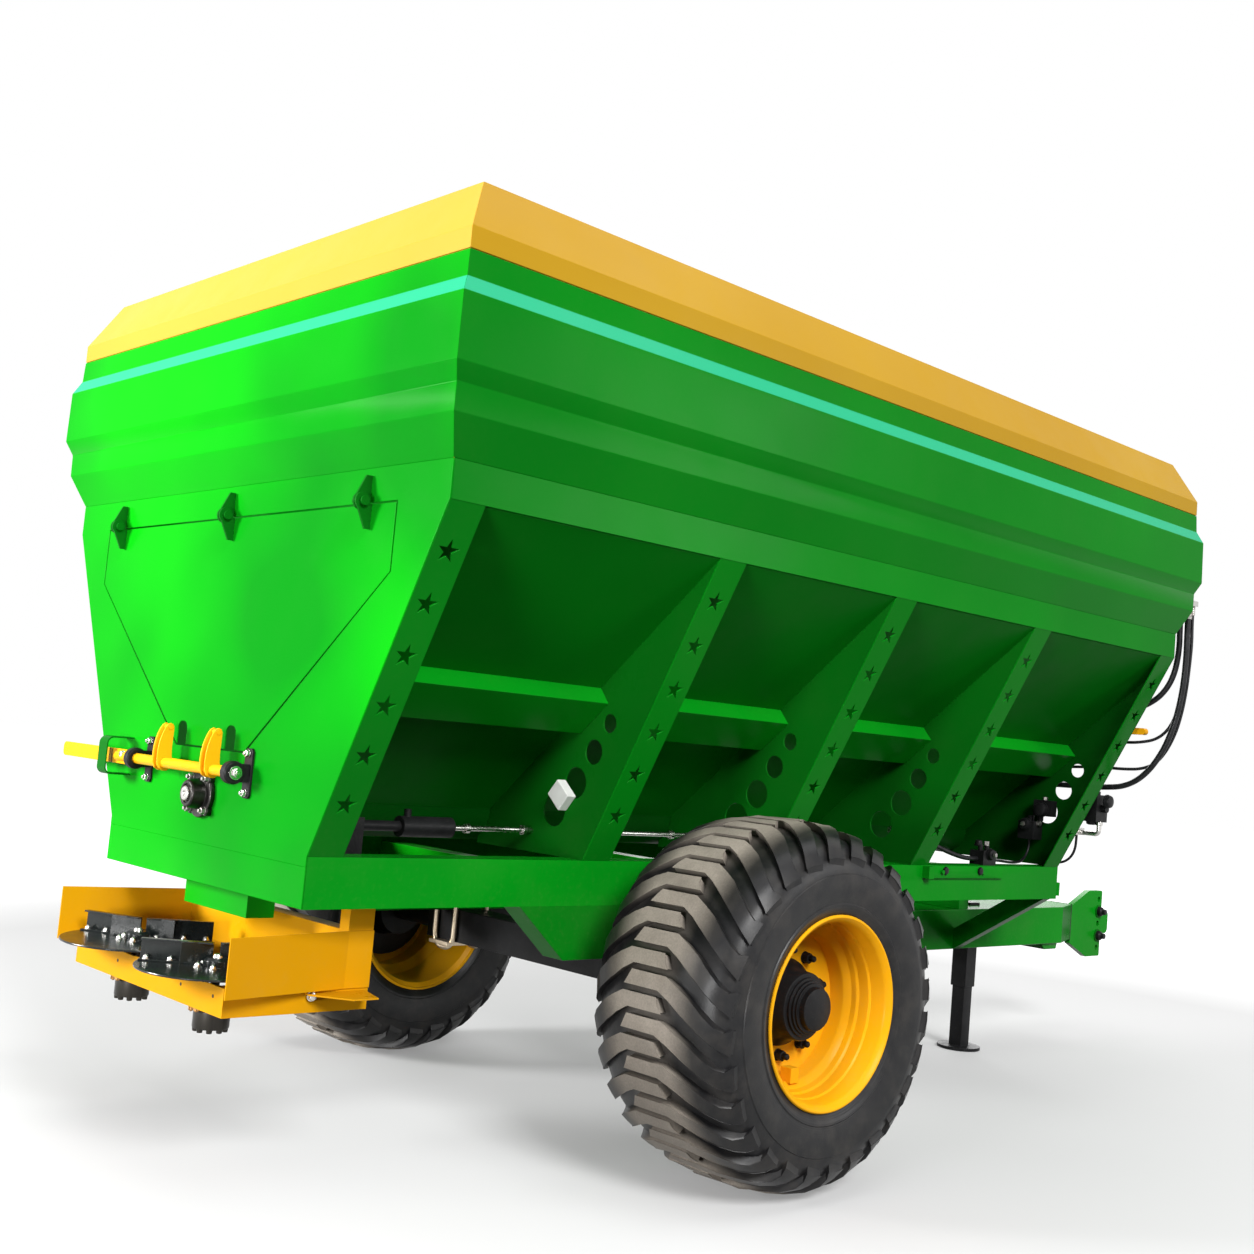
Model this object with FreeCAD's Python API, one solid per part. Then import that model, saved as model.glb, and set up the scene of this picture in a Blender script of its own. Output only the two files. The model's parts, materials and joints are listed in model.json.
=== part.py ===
import FreeCAD, Part
import math
import os

V = FreeCAD.Vector

# Pull-type fertilizer spreader. Millimetres, +X the machine's right, +Y forward, +Z up.
# Lengths along Y are counted from the hopper's rear face while the pieces are made; at the end
# every piece is moved so that the origin lies on the ground below the middle of the whole machine.

# hopper
body_length = 4000.0
rim_half = 1125.0
rim_height = 2050.0
side_beam_depth = 104.0
side_beam_sheet = 8.0
hopper_sheet = 5.0
upper_sheet = 4.0
trough_radius = 112.0
trough_height = 1088.0
# the upper body's folds: (height above the rim, how far outside the rim)
upper_folds = [(0, 0), (109, 49), (186, 50), (236, 72), (416, 70), (464, 47), (536, 44)]
crown_seam = 2.0
band_overlap = 20.0
crown_folds = [(0, 44), (60, 44), (221, -40)]

# chassis
rail_half = 620.0
rail_width = 100.0
rail_depth = 146.0
rail_bottom = 819.0
rail_wall = 6.0
panel_skirt_height = 28.0
crossmember_width = 80.0
crossmember_depth = 90.0

# ribs along both flanks
rib_pitch = 905.0
rib_flange = 120.0
rib_sheet = 6.0
rib_foot_inset = 60.0
star_radius = 35.0
star_first = 147.0
star_pitch = 157.0
star_count = 6
# holes in the rib webs: (height above the rails, distance in from the flange, radius)
web_holes = [(450, 160, 31), (353, 175, 41), (247, 196, 52), (150, 240, 55)]
stringer_along_wall = 642.0
stringer_width = 162.0
stringer_stand_off = 66.0
stringer_sheet = 5.0

# rear door and its three hinges
door_below_rim = 102.0
door_side_height = 190.0
door_above_latch = 62.0
door_half = 885.0
door_foot_half = 215.0
door_gap = 5.0
hinge_pitch = 760.0
hinge_stand_off = 30.0
hinge_eye = 24.0
hinge_fin = 8.0
hinge_fin_gap = 3.0
hinge_pin_radius = 8.0
hinge_reach = 75.0
pin_gap = 0.3

# door latch: one shaft with two cams
latch_height = 1170.0
latch_stand_off = 56.0
latch_shaft_radius = 17.0
latch_right_block = 262.0
latch_left_block = -375.0
latch_lever_end = -925.0
lever_guide_at = -545.0
lever_guide_width = 60.0
lever_guide_height = 126.0
cam_left = -185.0
cam_right = 125.0
cam_cheek = 8.0
cam_gap = 30.0
cam_reach = 128.0
cam_boss = 27.0
cam_pin_radius = 10.0
cam_clearance = 7.0
block_ring = 38.0
block_width = 34.0
block_plate_height = 132.0

# conveying auger in the trough
auger_radius = 94.0
auger_shaft_radius = 30.0
auger_pitch = 250.0
auger_flight = 6.0
auger_end_gap = 12.0
journal_radius = 20.0
bearing_flange_radius = 62.0
bearing_length = 44.0
drive_case_radius = 105.0
drive_case_length = 130.0
drive_motor_radius = 62.0
drive_motor_length = 160.0

# wheels
axle_from_rear = 1487.0
tyre_radius = 581.0
tyre_width = 570.0
tyre_track_half = 1067.0
tyre_wall = 22.0
bead_width = 20.0
bulge_below_tread = 170.0
lug_count = 28
lug_height = 28.0
lug_turn = 4.4
# the corners of a lug on its leading and trailing edge: (share of the half width, degrees round the axle)
lug_plan = [((-0.20, -1.9), (-0.283, 1.9)), ((0.293, -1.9), (0.233, 1.9)), ((0.80, 7.6), (0.80, 13.8)),
            ((0.93, 10.9), (0.93, 17.5)), ((0.987, 10.3), (0.987, 19.2))]
# at each of those places: fall of the tread, inset of the groove's floor, share of the lug's height
lug_levels = [(0.0, 0.0, 1.0), (3.0, 0.0, 1.0), (34.0, 0.0, 1.0), (62.0, 11.0, 0.75), (107.0, 0.0, 0.0)]
rim_flange_radius = 304.0
rim_seat_radius = 286.0
rim_width = 540.0
rim_sheet = 9.0
rim_ledge = 120.0
rim_ramp = 30.0
rim_well_width = 150.0
rim_well_depth = 40.0
wheel_disc_inset = 150.0
wheel_disc_sheet = 14.0
hub_radius = 105.0
hub_flange_radius = 205.0
hub_cap_radius = 72.0
hub_outer_end = 1272.0
wheel_nut_circle = 167.5
wheel_nut_count = 10
wheel_nut_radius = 16.0
wheel_nut_height = 30.0
spindle_radius = 40.0
axle_square = 127.0
axle_end_half = 700.0
hanger_sheet = 8.0
hanger_top_half = 700.0
hanger_bottom_half = 500.0
saddle_thickness = 15.0
u_bar = 22.0

# drawbar, hitch and jack
drawbar_half = 155.0
drawbar_top = 707.0
drawbar_bottom = 520.0
drawbar_wall = 8.0
drawbar_reach = 890.0
drawbar_rear = 1900.0
nose_length = 245.0
head_plate = 30.0
head_length = 322.0
head_half_height = 178.0
head_middle_height = 600.0
head_corner = 178.0
head_bolt_pitch = 65.5
head_bolt_inset = 34.0
head_bolt_radius = 14.0
tongue_reach = 133.0
tongue_overlap = 70.0
tongue_height = 124.0
tongue_width = 70.0
hitch_eye_radius = 16.0
hitch_eye_inset = 42.0
brace_sheet = 8.0
brace_height = 98.0
brace_flange = 60.0
brace_from_front = 110.0
jack_ahead_of_body = 235.0
jack_outer = 85.0
jack_inner = 70.0
jack_tube_wall = 7.0
jack_tube_foot = 304.0
jack_overlap = 120.0
jack_foot_radius = 105.0
jack_foot_plate = 15.0

# spreading unit
spinner_half = 480.0
spinner_rail_height = 82.0
spinner_rail_width = 50.0
spinner_bar_height = 82.0
spinner_floor = 503.0
spinner_rear = -130.0
spinner_post_front = 345.0
spinner_post_depth = 88.0
spinner_sheet = 5.0
guard_height = 150.0
guard_rear = -168.0
guard_flare = 70.0
disc_station = 258.0
disc_from_rear = -36.0
disc_radius = 235.0
disc_height = 606.0
disc_sheet = 6.0
vane_height = 55.0
vane_lip = 34.0
vane_sheet = 5.0
vane_offset = 62.0
vane_length = 330.0
vane_turn = 20.0
motor_radius = 52.0
motor_height = 82.0
motor_foot = 421.0
motor_neck_radius = 40.0
motor_shaft_radius = 14.0
disc_hub_radius = 38.0
motor_plate = 10.0
chute_half = 196.0
chute_neck_half = 100.0
chute_rear = 77.0
chute_front = 172.0
chute_foot = 734.0
chute_shoulder = 870.0
chute_sheet = 4.0
wing_rear = 130.0
wing_reach = 125.0
wing_depth = 85.0

# gate cylinder and its rod behind the right flank
rod_radius = 9.0
rod_side = 350.0
rod_height = 1036.0
cylinder_radius = 33.0
cylinder_length = 200.0

# hydraulic fittings and hoses
thick_hose = 13.0
thin_hose = 7.0
flank_hose = 10.0
small_hose = 6.0
hose_ahead = 100.0
hose_block = 40.0
manifold_width = 140.0
nipple_length = 30.0
rail_valve_ahead = 585.0
rail_valve_length = 100.0
web_valve_height = 84.0
web_valve_depth = 80.0
upper_valve_side = 552.0
upper_valve_foot = 1192.0
upper_valve_height = 74.0
front_valve_height = 1250.0
valve_half = 62.0
elbow_radius = 11.0
elbow_drop = 56.0
handle_height = 1615.0
handle_reach = 62.0
post_height = 1250.0
post_radius = 8.0
socket_radius = 22.0
socket_length = 60.0
sensor_height = 1168.0
sensor_side = 510.0
seat_gap = 0.3
# routes of the front hoses: (side, how far ahead of the hose plane, height)
outer_route = [(1128, 0, 2190), (1128, 0, 2080), (1131, 0, 1950), (1122, 0, 1805), (1098, 0, 1672),
               (1052, 0, 1540), (975, 0, 1425), (880, 0, 1362), (765, -2, 1349), (645, -8, 1346),
               (545, -20, 1344), (470, -20, 1344)]
inner_route = [(1092, 0, 2190), (1092, 0, 2100), (1096, 0, 1990), (1078, 0, 1870), (1028, -1, 1785),
               (955, -7, 1733), (882, -20, 1708), (815, -20, 1708)]
upper_route = [(1112, 30, 2190), (1112, 30, 2115), (1116, 30, 2020), (1112, 30, 1920), (1105, 30, 1820),
               (1090, 30, 1725), (1060, 28, 1640), (1003, 24, 1585), (925, 14, 1566), (845, 2, 1562),
               (760, -20, 1568), (680, -20, 1568)]
lower_route = [(1134, 30, 2190), (1134, 30, 2115), (1138, 30, 2020), (1133, 30, 1920), (1126, 30, 1820),
               (1112, 30, 1720), (1090, 30, 1628), (1055, 28, 1545), (1010, 24, 1480), (945, 18, 1447),
               (865, 8, 1440), (780, -2, 1441), (695, -10, 1438), (610, -15, 1432), (540, -20, 1428),
               (470, -20, 1428)]
valve_route = [(655, -12, 1120), (655, -12, 1090), (652.5, -12, 1059), (643, -12, 1029.5),
               (624, -12, 1004.5), (598, -12, 987.5), (568, -12, 980.3), (539, -12, 980.3)]
# hose from the fourth rib to the valve on the rail: (side, share of the way, height)
rail_route = [(500, 0.0, 1098), (500, 0.124, 1098), (512, 0.276, 1076), (530, 0.448, 1040),
              (543, 0.61, 1014), (551, 0.771, 996), (551, 0.886, 990), (551, 1.0, 990)]
# hose from the rail's valve to the front panel's: level part (side, share of the way, height), then
# its bend up into the valve (side, ahead of the valve's middle, height)
link_route = [(551, 0.0, 984), (551, 0.17, 984), (546, 0.355, 979), (534, 0.55, 974), (517, 0.74, 972),
              (502, 0.89, 973)]
link_bend = [(493, -66, 976), (490.5, -24, 1000), (490, 0, 1042), (490, 0, 1080)]

# heights that follow from those sizes
rail_top = rail_bottom + rail_depth
beam_bottom = rim_height - side_beam_depth
trough_outer = trough_radius + hopper_sheet
wall_slope = (beam_bottom - trough_height) / (rim_half - trough_outer)
wall_angle = math.atan(wall_slope)
flange_run = (rim_half - rail_half) / (beam_bottom - rail_top)
upper_top = rim_height + upper_folds[-1][0]
crown_bottom = upper_top + crown_seam
door_top = rim_height - door_below_rim
door_shoulder = door_top - door_side_height
door_foot = latch_height + door_above_latch
hinge_line = door_top + door_gap
middle_rib = (body_length - rib_flange) / 2
rib_starts = [0.0, middle_rib - rib_pitch, middle_rib, middle_rib + rib_pitch, body_length - rib_flange]
axle_height = tyre_radius
rearmost = disc_from_rear - disc_radius
drawbar_front = body_length + drawbar_reach
brace_rear = body_length - brace_from_front
rail_plate_from = rib_starts[3] + 122
rail_plate_to = rib_starts[3] + 675
rod_from = rib_starts[1] - 345
rod_to = rib_starts[3] + 235
hose_plane = body_length + hose_ahead
hose_top = outer_route[0][2]
manifold_side = outer_route[-1][0] - nipple_length
rail_valve_side = rail_route[-1][0]
web_valve_side, web_valve_foot = link_bend[-1][0], link_bend[-1][2]
rail_valve_from = rib_starts[3] + rail_valve_ahead
rail_valve_to = rail_valve_from + rail_valve_length
jack_from_rear = body_length + jack_ahead_of_body
head_rear = drawbar_front + nose_length
head_front = head_rear + head_length
foremost = head_front + tongue_reach
frame_shift = V(0, -(foremost + rearmost) / 2, 0)


# shape helpers

def box(x0, x1, y0, y1, z0, z1):
    return Part.makeBox(x1 - x0, y1 - y0, z1 - z0, V(x0, y0, z0))


def rod(radius, start, end):
    return Part.makeCylinder(radius, (end - start).Length, start, end - start)


def outline(points, radii=None):
    """Closed wire through the points; a point with a radius gets a tangent arc."""
    count = len(points)
    radii = radii or [0] * count
    edges = []
    ends = []
    for i, point in enumerate(points):
        before = (points[i - 1] - point).normalize()
        after = (points[(i + 1) % count] - point).normalize()
        if radii[i] == 0:
            ends.append((point, point))
            continue
        half_turn = before.getAngle(after) / 2
        reach = radii[i] / math.tan(half_turn)
        inward = (before + after).normalize()
        middle = point + inward * (radii[i] / math.sin(half_turn) - radii[i])
        start, end = point + before * reach, point + after * reach
        edges.append(Part.Arc(start, middle, end).toShape())
        ends.append((start, end))
    for i in range(count):
        start, end = ends[i][1], ends[(i + 1) % count][0]
        if (end - start).Length > 1e-6:
            edges.append(Part.LineSegment(start, end).toShape())
    return Part.Wire(Part.__sortEdges__(edges))


def plate_xz(points, y0, y1, radii=None):
    wire = outline([V(x, y0, z) for x, z in points], radii)
    return Part.Face(wire).extrude(V(0, y1 - y0, 0))


def plate_yz(points, x0, x1, radii=None):
    wire = outline([V(x0, y, z) for y, z in points], radii)
    return Part.Face(wire).extrude(V(x1 - x0, 0, 0))


def plate_xy(points, z0, z1, radii=None):
    wire = outline([V(x, y, z0) for x, y in points], radii)
    return Part.Face(wire).extrude(V(0, 0, z1 - z0))


def mirrored(shape):
    return shape.mirror(V(0, 0, 0), V(1, 0, 0))


def both_sides(shapes):
    return [*shapes, *[mirrored(shape) for shape in shapes]]


def fused(shapes):
    return shapes[0].multiFuse(shapes[1:]).removeSplitter()


def turned_profile(points, centre, axis):
    """Solid of revolution: points are (distance along the axis, radius)."""
    if axis == "x":
        corners = [V(along, 0, radius) for along, radius in points]
        direction = V(1, 0, 0)
    elif axis == "y":
        corners = [V(0, along, radius) for along, radius in points]
        direction = V(0, 1, 0)
    else:
        corners = [V(radius, 0, along) for along, radius in points]
        direction = V(0, 0, 1)
    solid = Part.Face(outline(corners)).revolve(V(0, 0, 0), direction, 360)
    solid.translate(centre)
    return solid


def tube_along(points, radius):
    """Round bar or hose: straight runs joined by arcs as large as the runs allow."""
    edges = []
    start = points[0]
    for before, corner, after in zip(points, points[1:], points[2:]):
        back, onward = (before - corner), (after - corner)
        shorter = min(back.Length, onward.Length)
        back.normalize()
        onward.normalize()
        half_turn = back.getAngle(onward) / 2
        reach = 0.45 * shorter
        bend = reach * math.tan(half_turn)
        print("bend radius", round(bend), "for a bar or hose of radius", radius)
        entry, leave = corner + back * reach, corner + onward * reach
        middle = corner + (back + onward).normalize() * (bend / math.sin(half_turn) - bend)
        edges.append(Part.LineSegment(start, entry).toShape())
        edges.append(Part.Arc(entry, middle, leave).toShape())
        start = leave
    edges.append(Part.LineSegment(start, points[-1]).toShape())
    path = Part.Wire(edges)
    ring = Part.Wire(Part.makeCircle(radius, points[0], points[1] - points[0]))
    solid = path.makePipeShell([ring], True, False)
    print("length", round(path.Length), "volume share", solid.Volume / (path.Length * math.pi * radius ** 2))
    return solid


def save(node, solids):
    shape = solids[0].copy() if len(solids) == 1 else Part.makeCompound(solids)
    shape.translate(frame_shift)
    shape.exportStep("parts/" + node + ".step")
    print(node, len(shape.Solids), "solids", round(shape.Volume / 1e6, 2), "litres", shape.isValid())


def wall_underside(x):
    """Height of the sloping wall's outer face at a distance from the middle."""
    return trough_height + (x - trough_outer) * wall_slope


def flange_line(z):
    """Distance of the rib flanges' outer face from the middle at a height."""
    return rail_half + (z - rail_top) * flange_run


# hopper

def folded_wall(folds, base, side, sheet):
    """One folded wall of a four-sided ring, mitred into its neighbours."""
    outer = [(offset, base + height) for height, offset in folds]
    inner = [(offset - sheet, z) for offset, z in reversed(outer)]
    reach = 300.0
    if side == "right":
        points = [(rim_half + x, z) for x, z in outer + inner]
        wall = plate_xz(points, -reach, body_length + reach)
        sector = [(rim_half - reach, reach), (rim_half + reach, -reach),
                  (rim_half + reach, body_length + reach), (rim_half - reach, body_length - reach)]
    else:
        points = [(-x, z) for x, z in outer + inner]
        wall = plate_yz(points, -rim_half - reach, rim_half + reach)
        sector = [(-rim_half - reach, -reach), (rim_half + reach, -reach),
                  (rim_half - reach, reach), (-rim_half + reach, reach)]
    wall = wall.common(plate_xy(sector, base - reach, base + folds[-1][0] + reach))
    return wall.removeSplitter()


def front_copy(shape):
    return shape.mirror(V(0, body_length / 2, 0), V(0, 1, 0))


def make_upper_body():
    side = folded_wall(upper_folds, rim_height, "right", upper_sheet)
    end = folded_wall(upper_folds, rim_height, "rear", upper_sheet)
    save("upper_side_walls", both_sides([side]))
    save("upper_end_walls", [end, front_copy(end)])
    side = folded_wall(crown_folds, crown_bottom, "right", upper_sheet)
    end = folded_wall(crown_folds, crown_bottom, "rear", upper_sheet)
    save("crown_side_panels", both_sides([side]))
    save("crown_end_panels", [end, front_copy(end)])
    offset = upper_folds[-1][1] - 2 * upper_sheet
    low, high = upper_top - band_overlap, crown_bottom + band_overlap
    x0, x1 = rim_half + offset, rim_half + offset + upper_sheet
    side = box(x0, x1, -offset - upper_sheet, body_length + offset + upper_sheet, low, high)
    reach = x0 - seat_gap
    end = box(-reach, reach, -offset - upper_sheet, -offset, low, high)
    save("crown_joint_bands", [*both_sides([side]), end, front_copy(end)])


def make_side_beams():
    beam = box(rim_half - side_beam_sheet, rim_half, hopper_sheet, body_length - hopper_sheet,
               beam_bottom, rim_height)
    save("side_beams", both_sides([beam]))


def make_slope_plates():
    rise = hopper_sheet / math.cos(wall_angle)
    top = rim_half - side_beam_sheet
    points = [(trough_outer, wall_underside(trough_outer)), (top, wall_underside(top)),
              (top, wall_underside(top) + rise), (trough_outer, trough_height + rise)]
    plate = plate_xz(points, hopper_sheet, body_length - hopper_sheet)
    save("slope_plates", both_sides([plate]))


def make_trough():
    axis = V(0, hopper_sheet, trough_height)
    length = V(0, body_length - 2 * hopper_sheet, 0)
    shell = rod(trough_outer, axis, axis + length).cut(rod(trough_radius, axis, axis + length))
    shell = shell.cut(box(-trough_outer, trough_outer, 0, body_length, trough_height, rim_height))
    mouth = box(-chute_neck_half, chute_neck_half, chute_rear, chute_front, rail_bottom, trough_height)
    save("auger_trough", [shell.cut(mouth)])


def door_outline(grow):
    """The door's hexagon, grown by the running gap for its opening in the panel."""
    return [(-door_foot_half - grow, door_foot - grow), (door_foot_half + grow, door_foot - grow),
            (door_half + grow, door_shoulder), (door_half + grow, door_top + grow),
            (-door_half - grow, door_top + grow), (-door_half - grow, door_shoulder)]


def make_rear_panel():
    skirt = rail_top - panel_skirt_height
    points = [(-rail_half, skirt), (rail_half, skirt), (rail_half, rail_top),
              (rim_half, beam_bottom), (rim_half, rim_height), (-rim_half, rim_height),
              (-rim_half, beam_bottom), (-rail_half, rail_top)]
    panel = plate_xz(points, 0, hopper_sheet)
    panel = panel.cut(plate_xz(door_outline(door_gap), -1, hopper_sheet + 1))
    shaft_hole = rod(journal_radius + door_gap, V(0, -1, trough_height),
                     V(0, hopper_sheet + 1, trough_height))
    save("rear_panel", [panel.cut(shaft_hole)])


def web_hole_cutters(rear, front, count):
    """Round holes in a rib's web, the largest lowest, counted from the top."""
    cutters = []
    for up, inset, radius in web_holes[:count]:
        x, z = flange_line(rail_top + up) - inset, rail_top + up
        cutters.append(rod(radius, V(x, rear - 1, z), V(x, front + 1, z)))
    return cutters


def make_front_panel():
    """End panel that is the front ribs' web as well."""
    points = [(-rail_half, rail_top), (rail_half, rail_top), (rim_half, beam_bottom),
              (rim_half, rim_height), (-rim_half, rim_height), (-rim_half, beam_bottom)]
    rear = body_length - hopper_sheet
    panel = plate_xz(points, rear, body_length)
    shaft_hole = rod(journal_radius + door_gap, V(0, rear - 1, trough_height),
                     V(0, body_length + 1, trough_height))
    save("front_panel", [panel.cut([shaft_hole, *both_sides(web_hole_cutters(rear, body_length, 3))])])


def star_cutter(along, y_middle):
    """A five-pointed star through the flange, its tip pointing up the slope."""
    direction = V(rail_half - rim_half, 0, rail_top - beam_bottom).normalize()
    outward = V(-direction.z, 0, direction.x)
    centre = V(rim_half, y_middle, beam_bottom) + direction * along
    corners = []
    for i in range(10):
        radius = star_radius if i % 2 == 0 else star_radius * 0.382
        angle = i * math.pi / 5
        corners.append(centre + direction * (-radius * math.cos(angle)) + V(0, radius * math.sin(angle), 0))
    depth = 3 * rib_sheet
    face = Part.Face(outline([corner - outward * depth for corner in corners]))
    return face.extrude(outward * (2 * depth))


def make_ribs():
    """Slanted flanges with stars along both flanks, and the webs behind the middle three."""
    shift = rib_sheet * math.sqrt(1 + flange_run ** 2)
    flanges, webs = [], []
    trough = rod(trough_outer + seat_gap, V(0, 0, trough_height), V(0, body_length, trough_height))
    rod_hole = rod(rod_radius + seat_gap, V(rod_side, 0, rod_height), V(rod_side, body_length, rod_height))
    for index, start in enumerate(rib_starts):
        rear = hopper_sheet if index == 0 else start
        front = body_length - hopper_sheet if start + rib_flange >= body_length else start + rib_flange
        profile = [(rim_half, beam_bottom), (rail_half, rail_top),
                   (rail_half - shift, rail_top), (rim_half - shift, beam_bottom)]
        flange = plate_xz(profile, rear, front)
        above_wall = plate_xz([(trough_outer, trough_height), (rim_half, beam_bottom),
                               (trough_outer, beam_bottom)], rear - 1, front + rib_flange)
        stars = [star_cutter(star_first + star_pitch * i, start + rib_flange / 2) for i in range(star_count)]
        flanges.append(flange.cut([above_wall, *stars]))
        if 0 < index < len(rib_starts) - 1:
            profile = [(rim_half - shift, beam_bottom), (rail_half - shift, rail_top),
                       (rib_foot_inset, rail_top), (rib_foot_inset, trough_height),
                       (trough_outer, trough_height)]
            web = plate_xz(profile, rear, rear + rib_sheet)
            holes = web_hole_cutters(rear, rear + rib_sheet, 4)
            webs.append(web.cut([above_wall, trough, rod_hole, *holes]))
    save("rib_flanges", both_sides(flanges))
    save("rib_webs", both_sides(webs))


def make_stringers():
    """Folded channels on the sloping walls between the ribs."""
    along = V(-math.cos(wall_angle), 0, -math.sin(wall_angle))
    out = V(math.sin(wall_angle), 0, -math.cos(wall_angle))
    top = V(rim_half, 0, beam_bottom) + along * stringer_along_wall
    profile = [top, top + out * stringer_stand_off,
               top + out * stringer_stand_off + along * stringer_width, top + along * stringer_width,
               top + along * (stringer_width - stringer_sheet),
               top + out * (stringer_stand_off - stringer_sheet) + along * (stringer_width - stringer_sheet),
               top + out * (stringer_stand_off - stringer_sheet) + along * stringer_sheet,
               top + along * stringer_sheet]
    channels = []
    for index, start in enumerate(rib_starts[:-1]):
        rear = hopper_sheet if index == 0 else start + rib_sheet
        face = Part.Face(outline([V(p.x, rear, p.z) for p in profile]))
        last = index == len(rib_starts) - 2
        front = body_length - hopper_sheet if last else rib_starts[index + 1]
        channels.append(face.extrude(V(0, front - rear, 0)))
    save("stringers", both_sides(channels))


# rear door and latch

def hinge_fin_shape(x0, base_low, base_high):
    """A fin standing on a plate at y = 0 with an eye round the hinge pin."""
    pin_y = -hinge_stand_off
    eye = rod(hinge_eye, V(x0, pin_y, hinge_line), V(x0 + hinge_fin, pin_y, hinge_line))
    far, near = (base_high, base_low) if base_low >= hinge_line else (base_low, base_high)
    body = plate_yz([(0, near), (0, far), (-hinge_stand_off * 0.6, far),
                     (pin_y - hinge_eye, hinge_line), (pin_y, hinge_line)], x0, x0 + hinge_fin)
    return fused([eye, body])


def make_door_hinges():
    fixed, moving = [], []
    for station in (-hinge_pitch, 0.0, hinge_pitch):
        bore = rod(hinge_pin_radius + pin_gap, V(station - 40, -hinge_stand_off, hinge_line),
                   V(station + 40, -hinge_stand_off, hinge_line))
        low = hinge_line + hinge_eye / 4
        arm = hinge_fin_shape(station + hinge_fin_gap / 2, hinge_line - hinge_reach, door_top)
        moving.append(arm.cut(bore))
        fin = hinge_fin_shape(station - hinge_fin_gap / 2 - hinge_fin, low, hinge_line + hinge_reach)
        head = 2 * hinge_fin + hinge_fin_gap
        axis = [V(station + x, -hinge_stand_off, hinge_line) for x in (-head, -hinge_fin, hinge_fin, head)]
        pin = rod(hinge_pin_radius, axis[0], axis[3])
        nut = rod(hinge_pin_radius * 1.7, axis[2] + V(hinge_fin_gap, 0, 0), axis[3] + V(hinge_fin_gap, 0, 0))
        cap = rod(hinge_pin_radius * 1.7, axis[0], axis[1] - V(hinge_fin_gap / 2, 0, 0))
        fixed.append(fused([fin, pin, nut, cap]))
    save("door_hinge_brackets", fixed)
    save("door_hinge_arms", moving)


def make_door():
    door = plate_xz(door_outline(0), 0, hopper_sheet)
    half = cam_gap / 2 + cam_cheek + cam_clearance
    top = latch_height + cam_reach + cam_clearance
    for station in (cam_left, cam_right):
        notch = plate_xz([(station - half, door_foot - 1), (station + half, door_foot - 1),
                          (station + half, top), (station - half, top)], -1, hopper_sheet + 1,
                         [0, 0, half * 0.8, half * 0.8])
        door = door.cut(notch)
    save("rear_door", [door])


def make_latch():
    axis_y = -latch_stand_off
    shaft = rod(latch_shaft_radius, V(lever_guide_at + 45, axis_y, latch_height),
                V(latch_right_block + block_width / 2 + 6, axis_y, latch_height))
    lever = box(latch_lever_end, lever_guide_at + 60, axis_y - 6, axis_y + 6,
                latch_height - 24, latch_height + 24)
    pieces = [shaft, lever]
    tip = latch_height + cam_reach
    nose_y = -cam_clearance
    for station in (cam_left, cam_right):
        for start in (station - cam_gap / 2 - cam_cheek, station + cam_gap / 2):
            boss = rod(cam_boss, V(start, axis_y, latch_height), V(start + cam_cheek, axis_y, latch_height))
            blade = plate_yz([(axis_y + 8, latch_height - cam_boss), (nose_y, latch_height + 20),
                              (nose_y, tip), (nose_y - cam_boss, tip),
                              (axis_y - latch_shaft_radius - 2, latch_height + cam_reach / 2),
                              (axis_y - latch_shaft_radius - 2, latch_height)],
                             start, start + cam_cheek, [0, 0, 9, 12, cam_reach * 0.85, 0])
            pieces.append(fused([boss, blade]))
        pin_y, pin_z = nose_y - cam_pin_radius - 3, tip - cam_pin_radius - 3
        half = cam_gap / 2 + 1
        pieces.append(rod(cam_pin_radius, V(station - half, pin_y, pin_z), V(station + half, pin_y, pin_z)))
    save("door_latch", [fused(pieces)])


def make_latch_blocks():
    blocks = []
    for station in (latch_left_block, latch_right_block):
        x0, x1 = station - block_width / 2, station + block_width / 2
        axis_y = -latch_stand_off
        ring = rod(block_ring, V(x0, axis_y, latch_height), V(x1, axis_y, latch_height))
        neck_half = block_ring * 0.7
        neck = box(x0 + 6, x1 - 6, axis_y, -6, latch_height - neck_half, latch_height + neck_half)
        foot = box(x0 - 5, x1 + 5, -8, 0, latch_height - block_plate_height / 2,
                   latch_height + block_plate_height / 2)
        bore = rod(latch_shaft_radius + pin_gap, V(x0 - 1, axis_y, latch_height),
                   V(x1 + 1, axis_y, latch_height))
        blocks.append(fused([ring, neck, foot]).cut(bore))
    save("latch_bearing_blocks", blocks)


def make_lever_guide():
    """Bent strip on the panel that keeps the lever in."""
    low, high = latch_height - lever_guide_height / 2, latch_height + lever_guide_height / 2
    outer_y = -latch_stand_off - 36
    half = lever_guide_width / 2
    outer = plate_yz([(0, low), (0, high), (outer_y, high), (outer_y, low)],
                     lever_guide_at - half, lever_guide_at + half, [0, 0, 24, 24])
    inner = plate_yz([(1, low + 5), (1, high - 5), (outer_y + 5, high - 5), (outer_y + 5, low + 5)],
                     lever_guide_at - half - 1, lever_guide_at + half + 1, [0, 0, 19, 19])
    save("lever_guide", [outer.cut(inner)])


# auger

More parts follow.
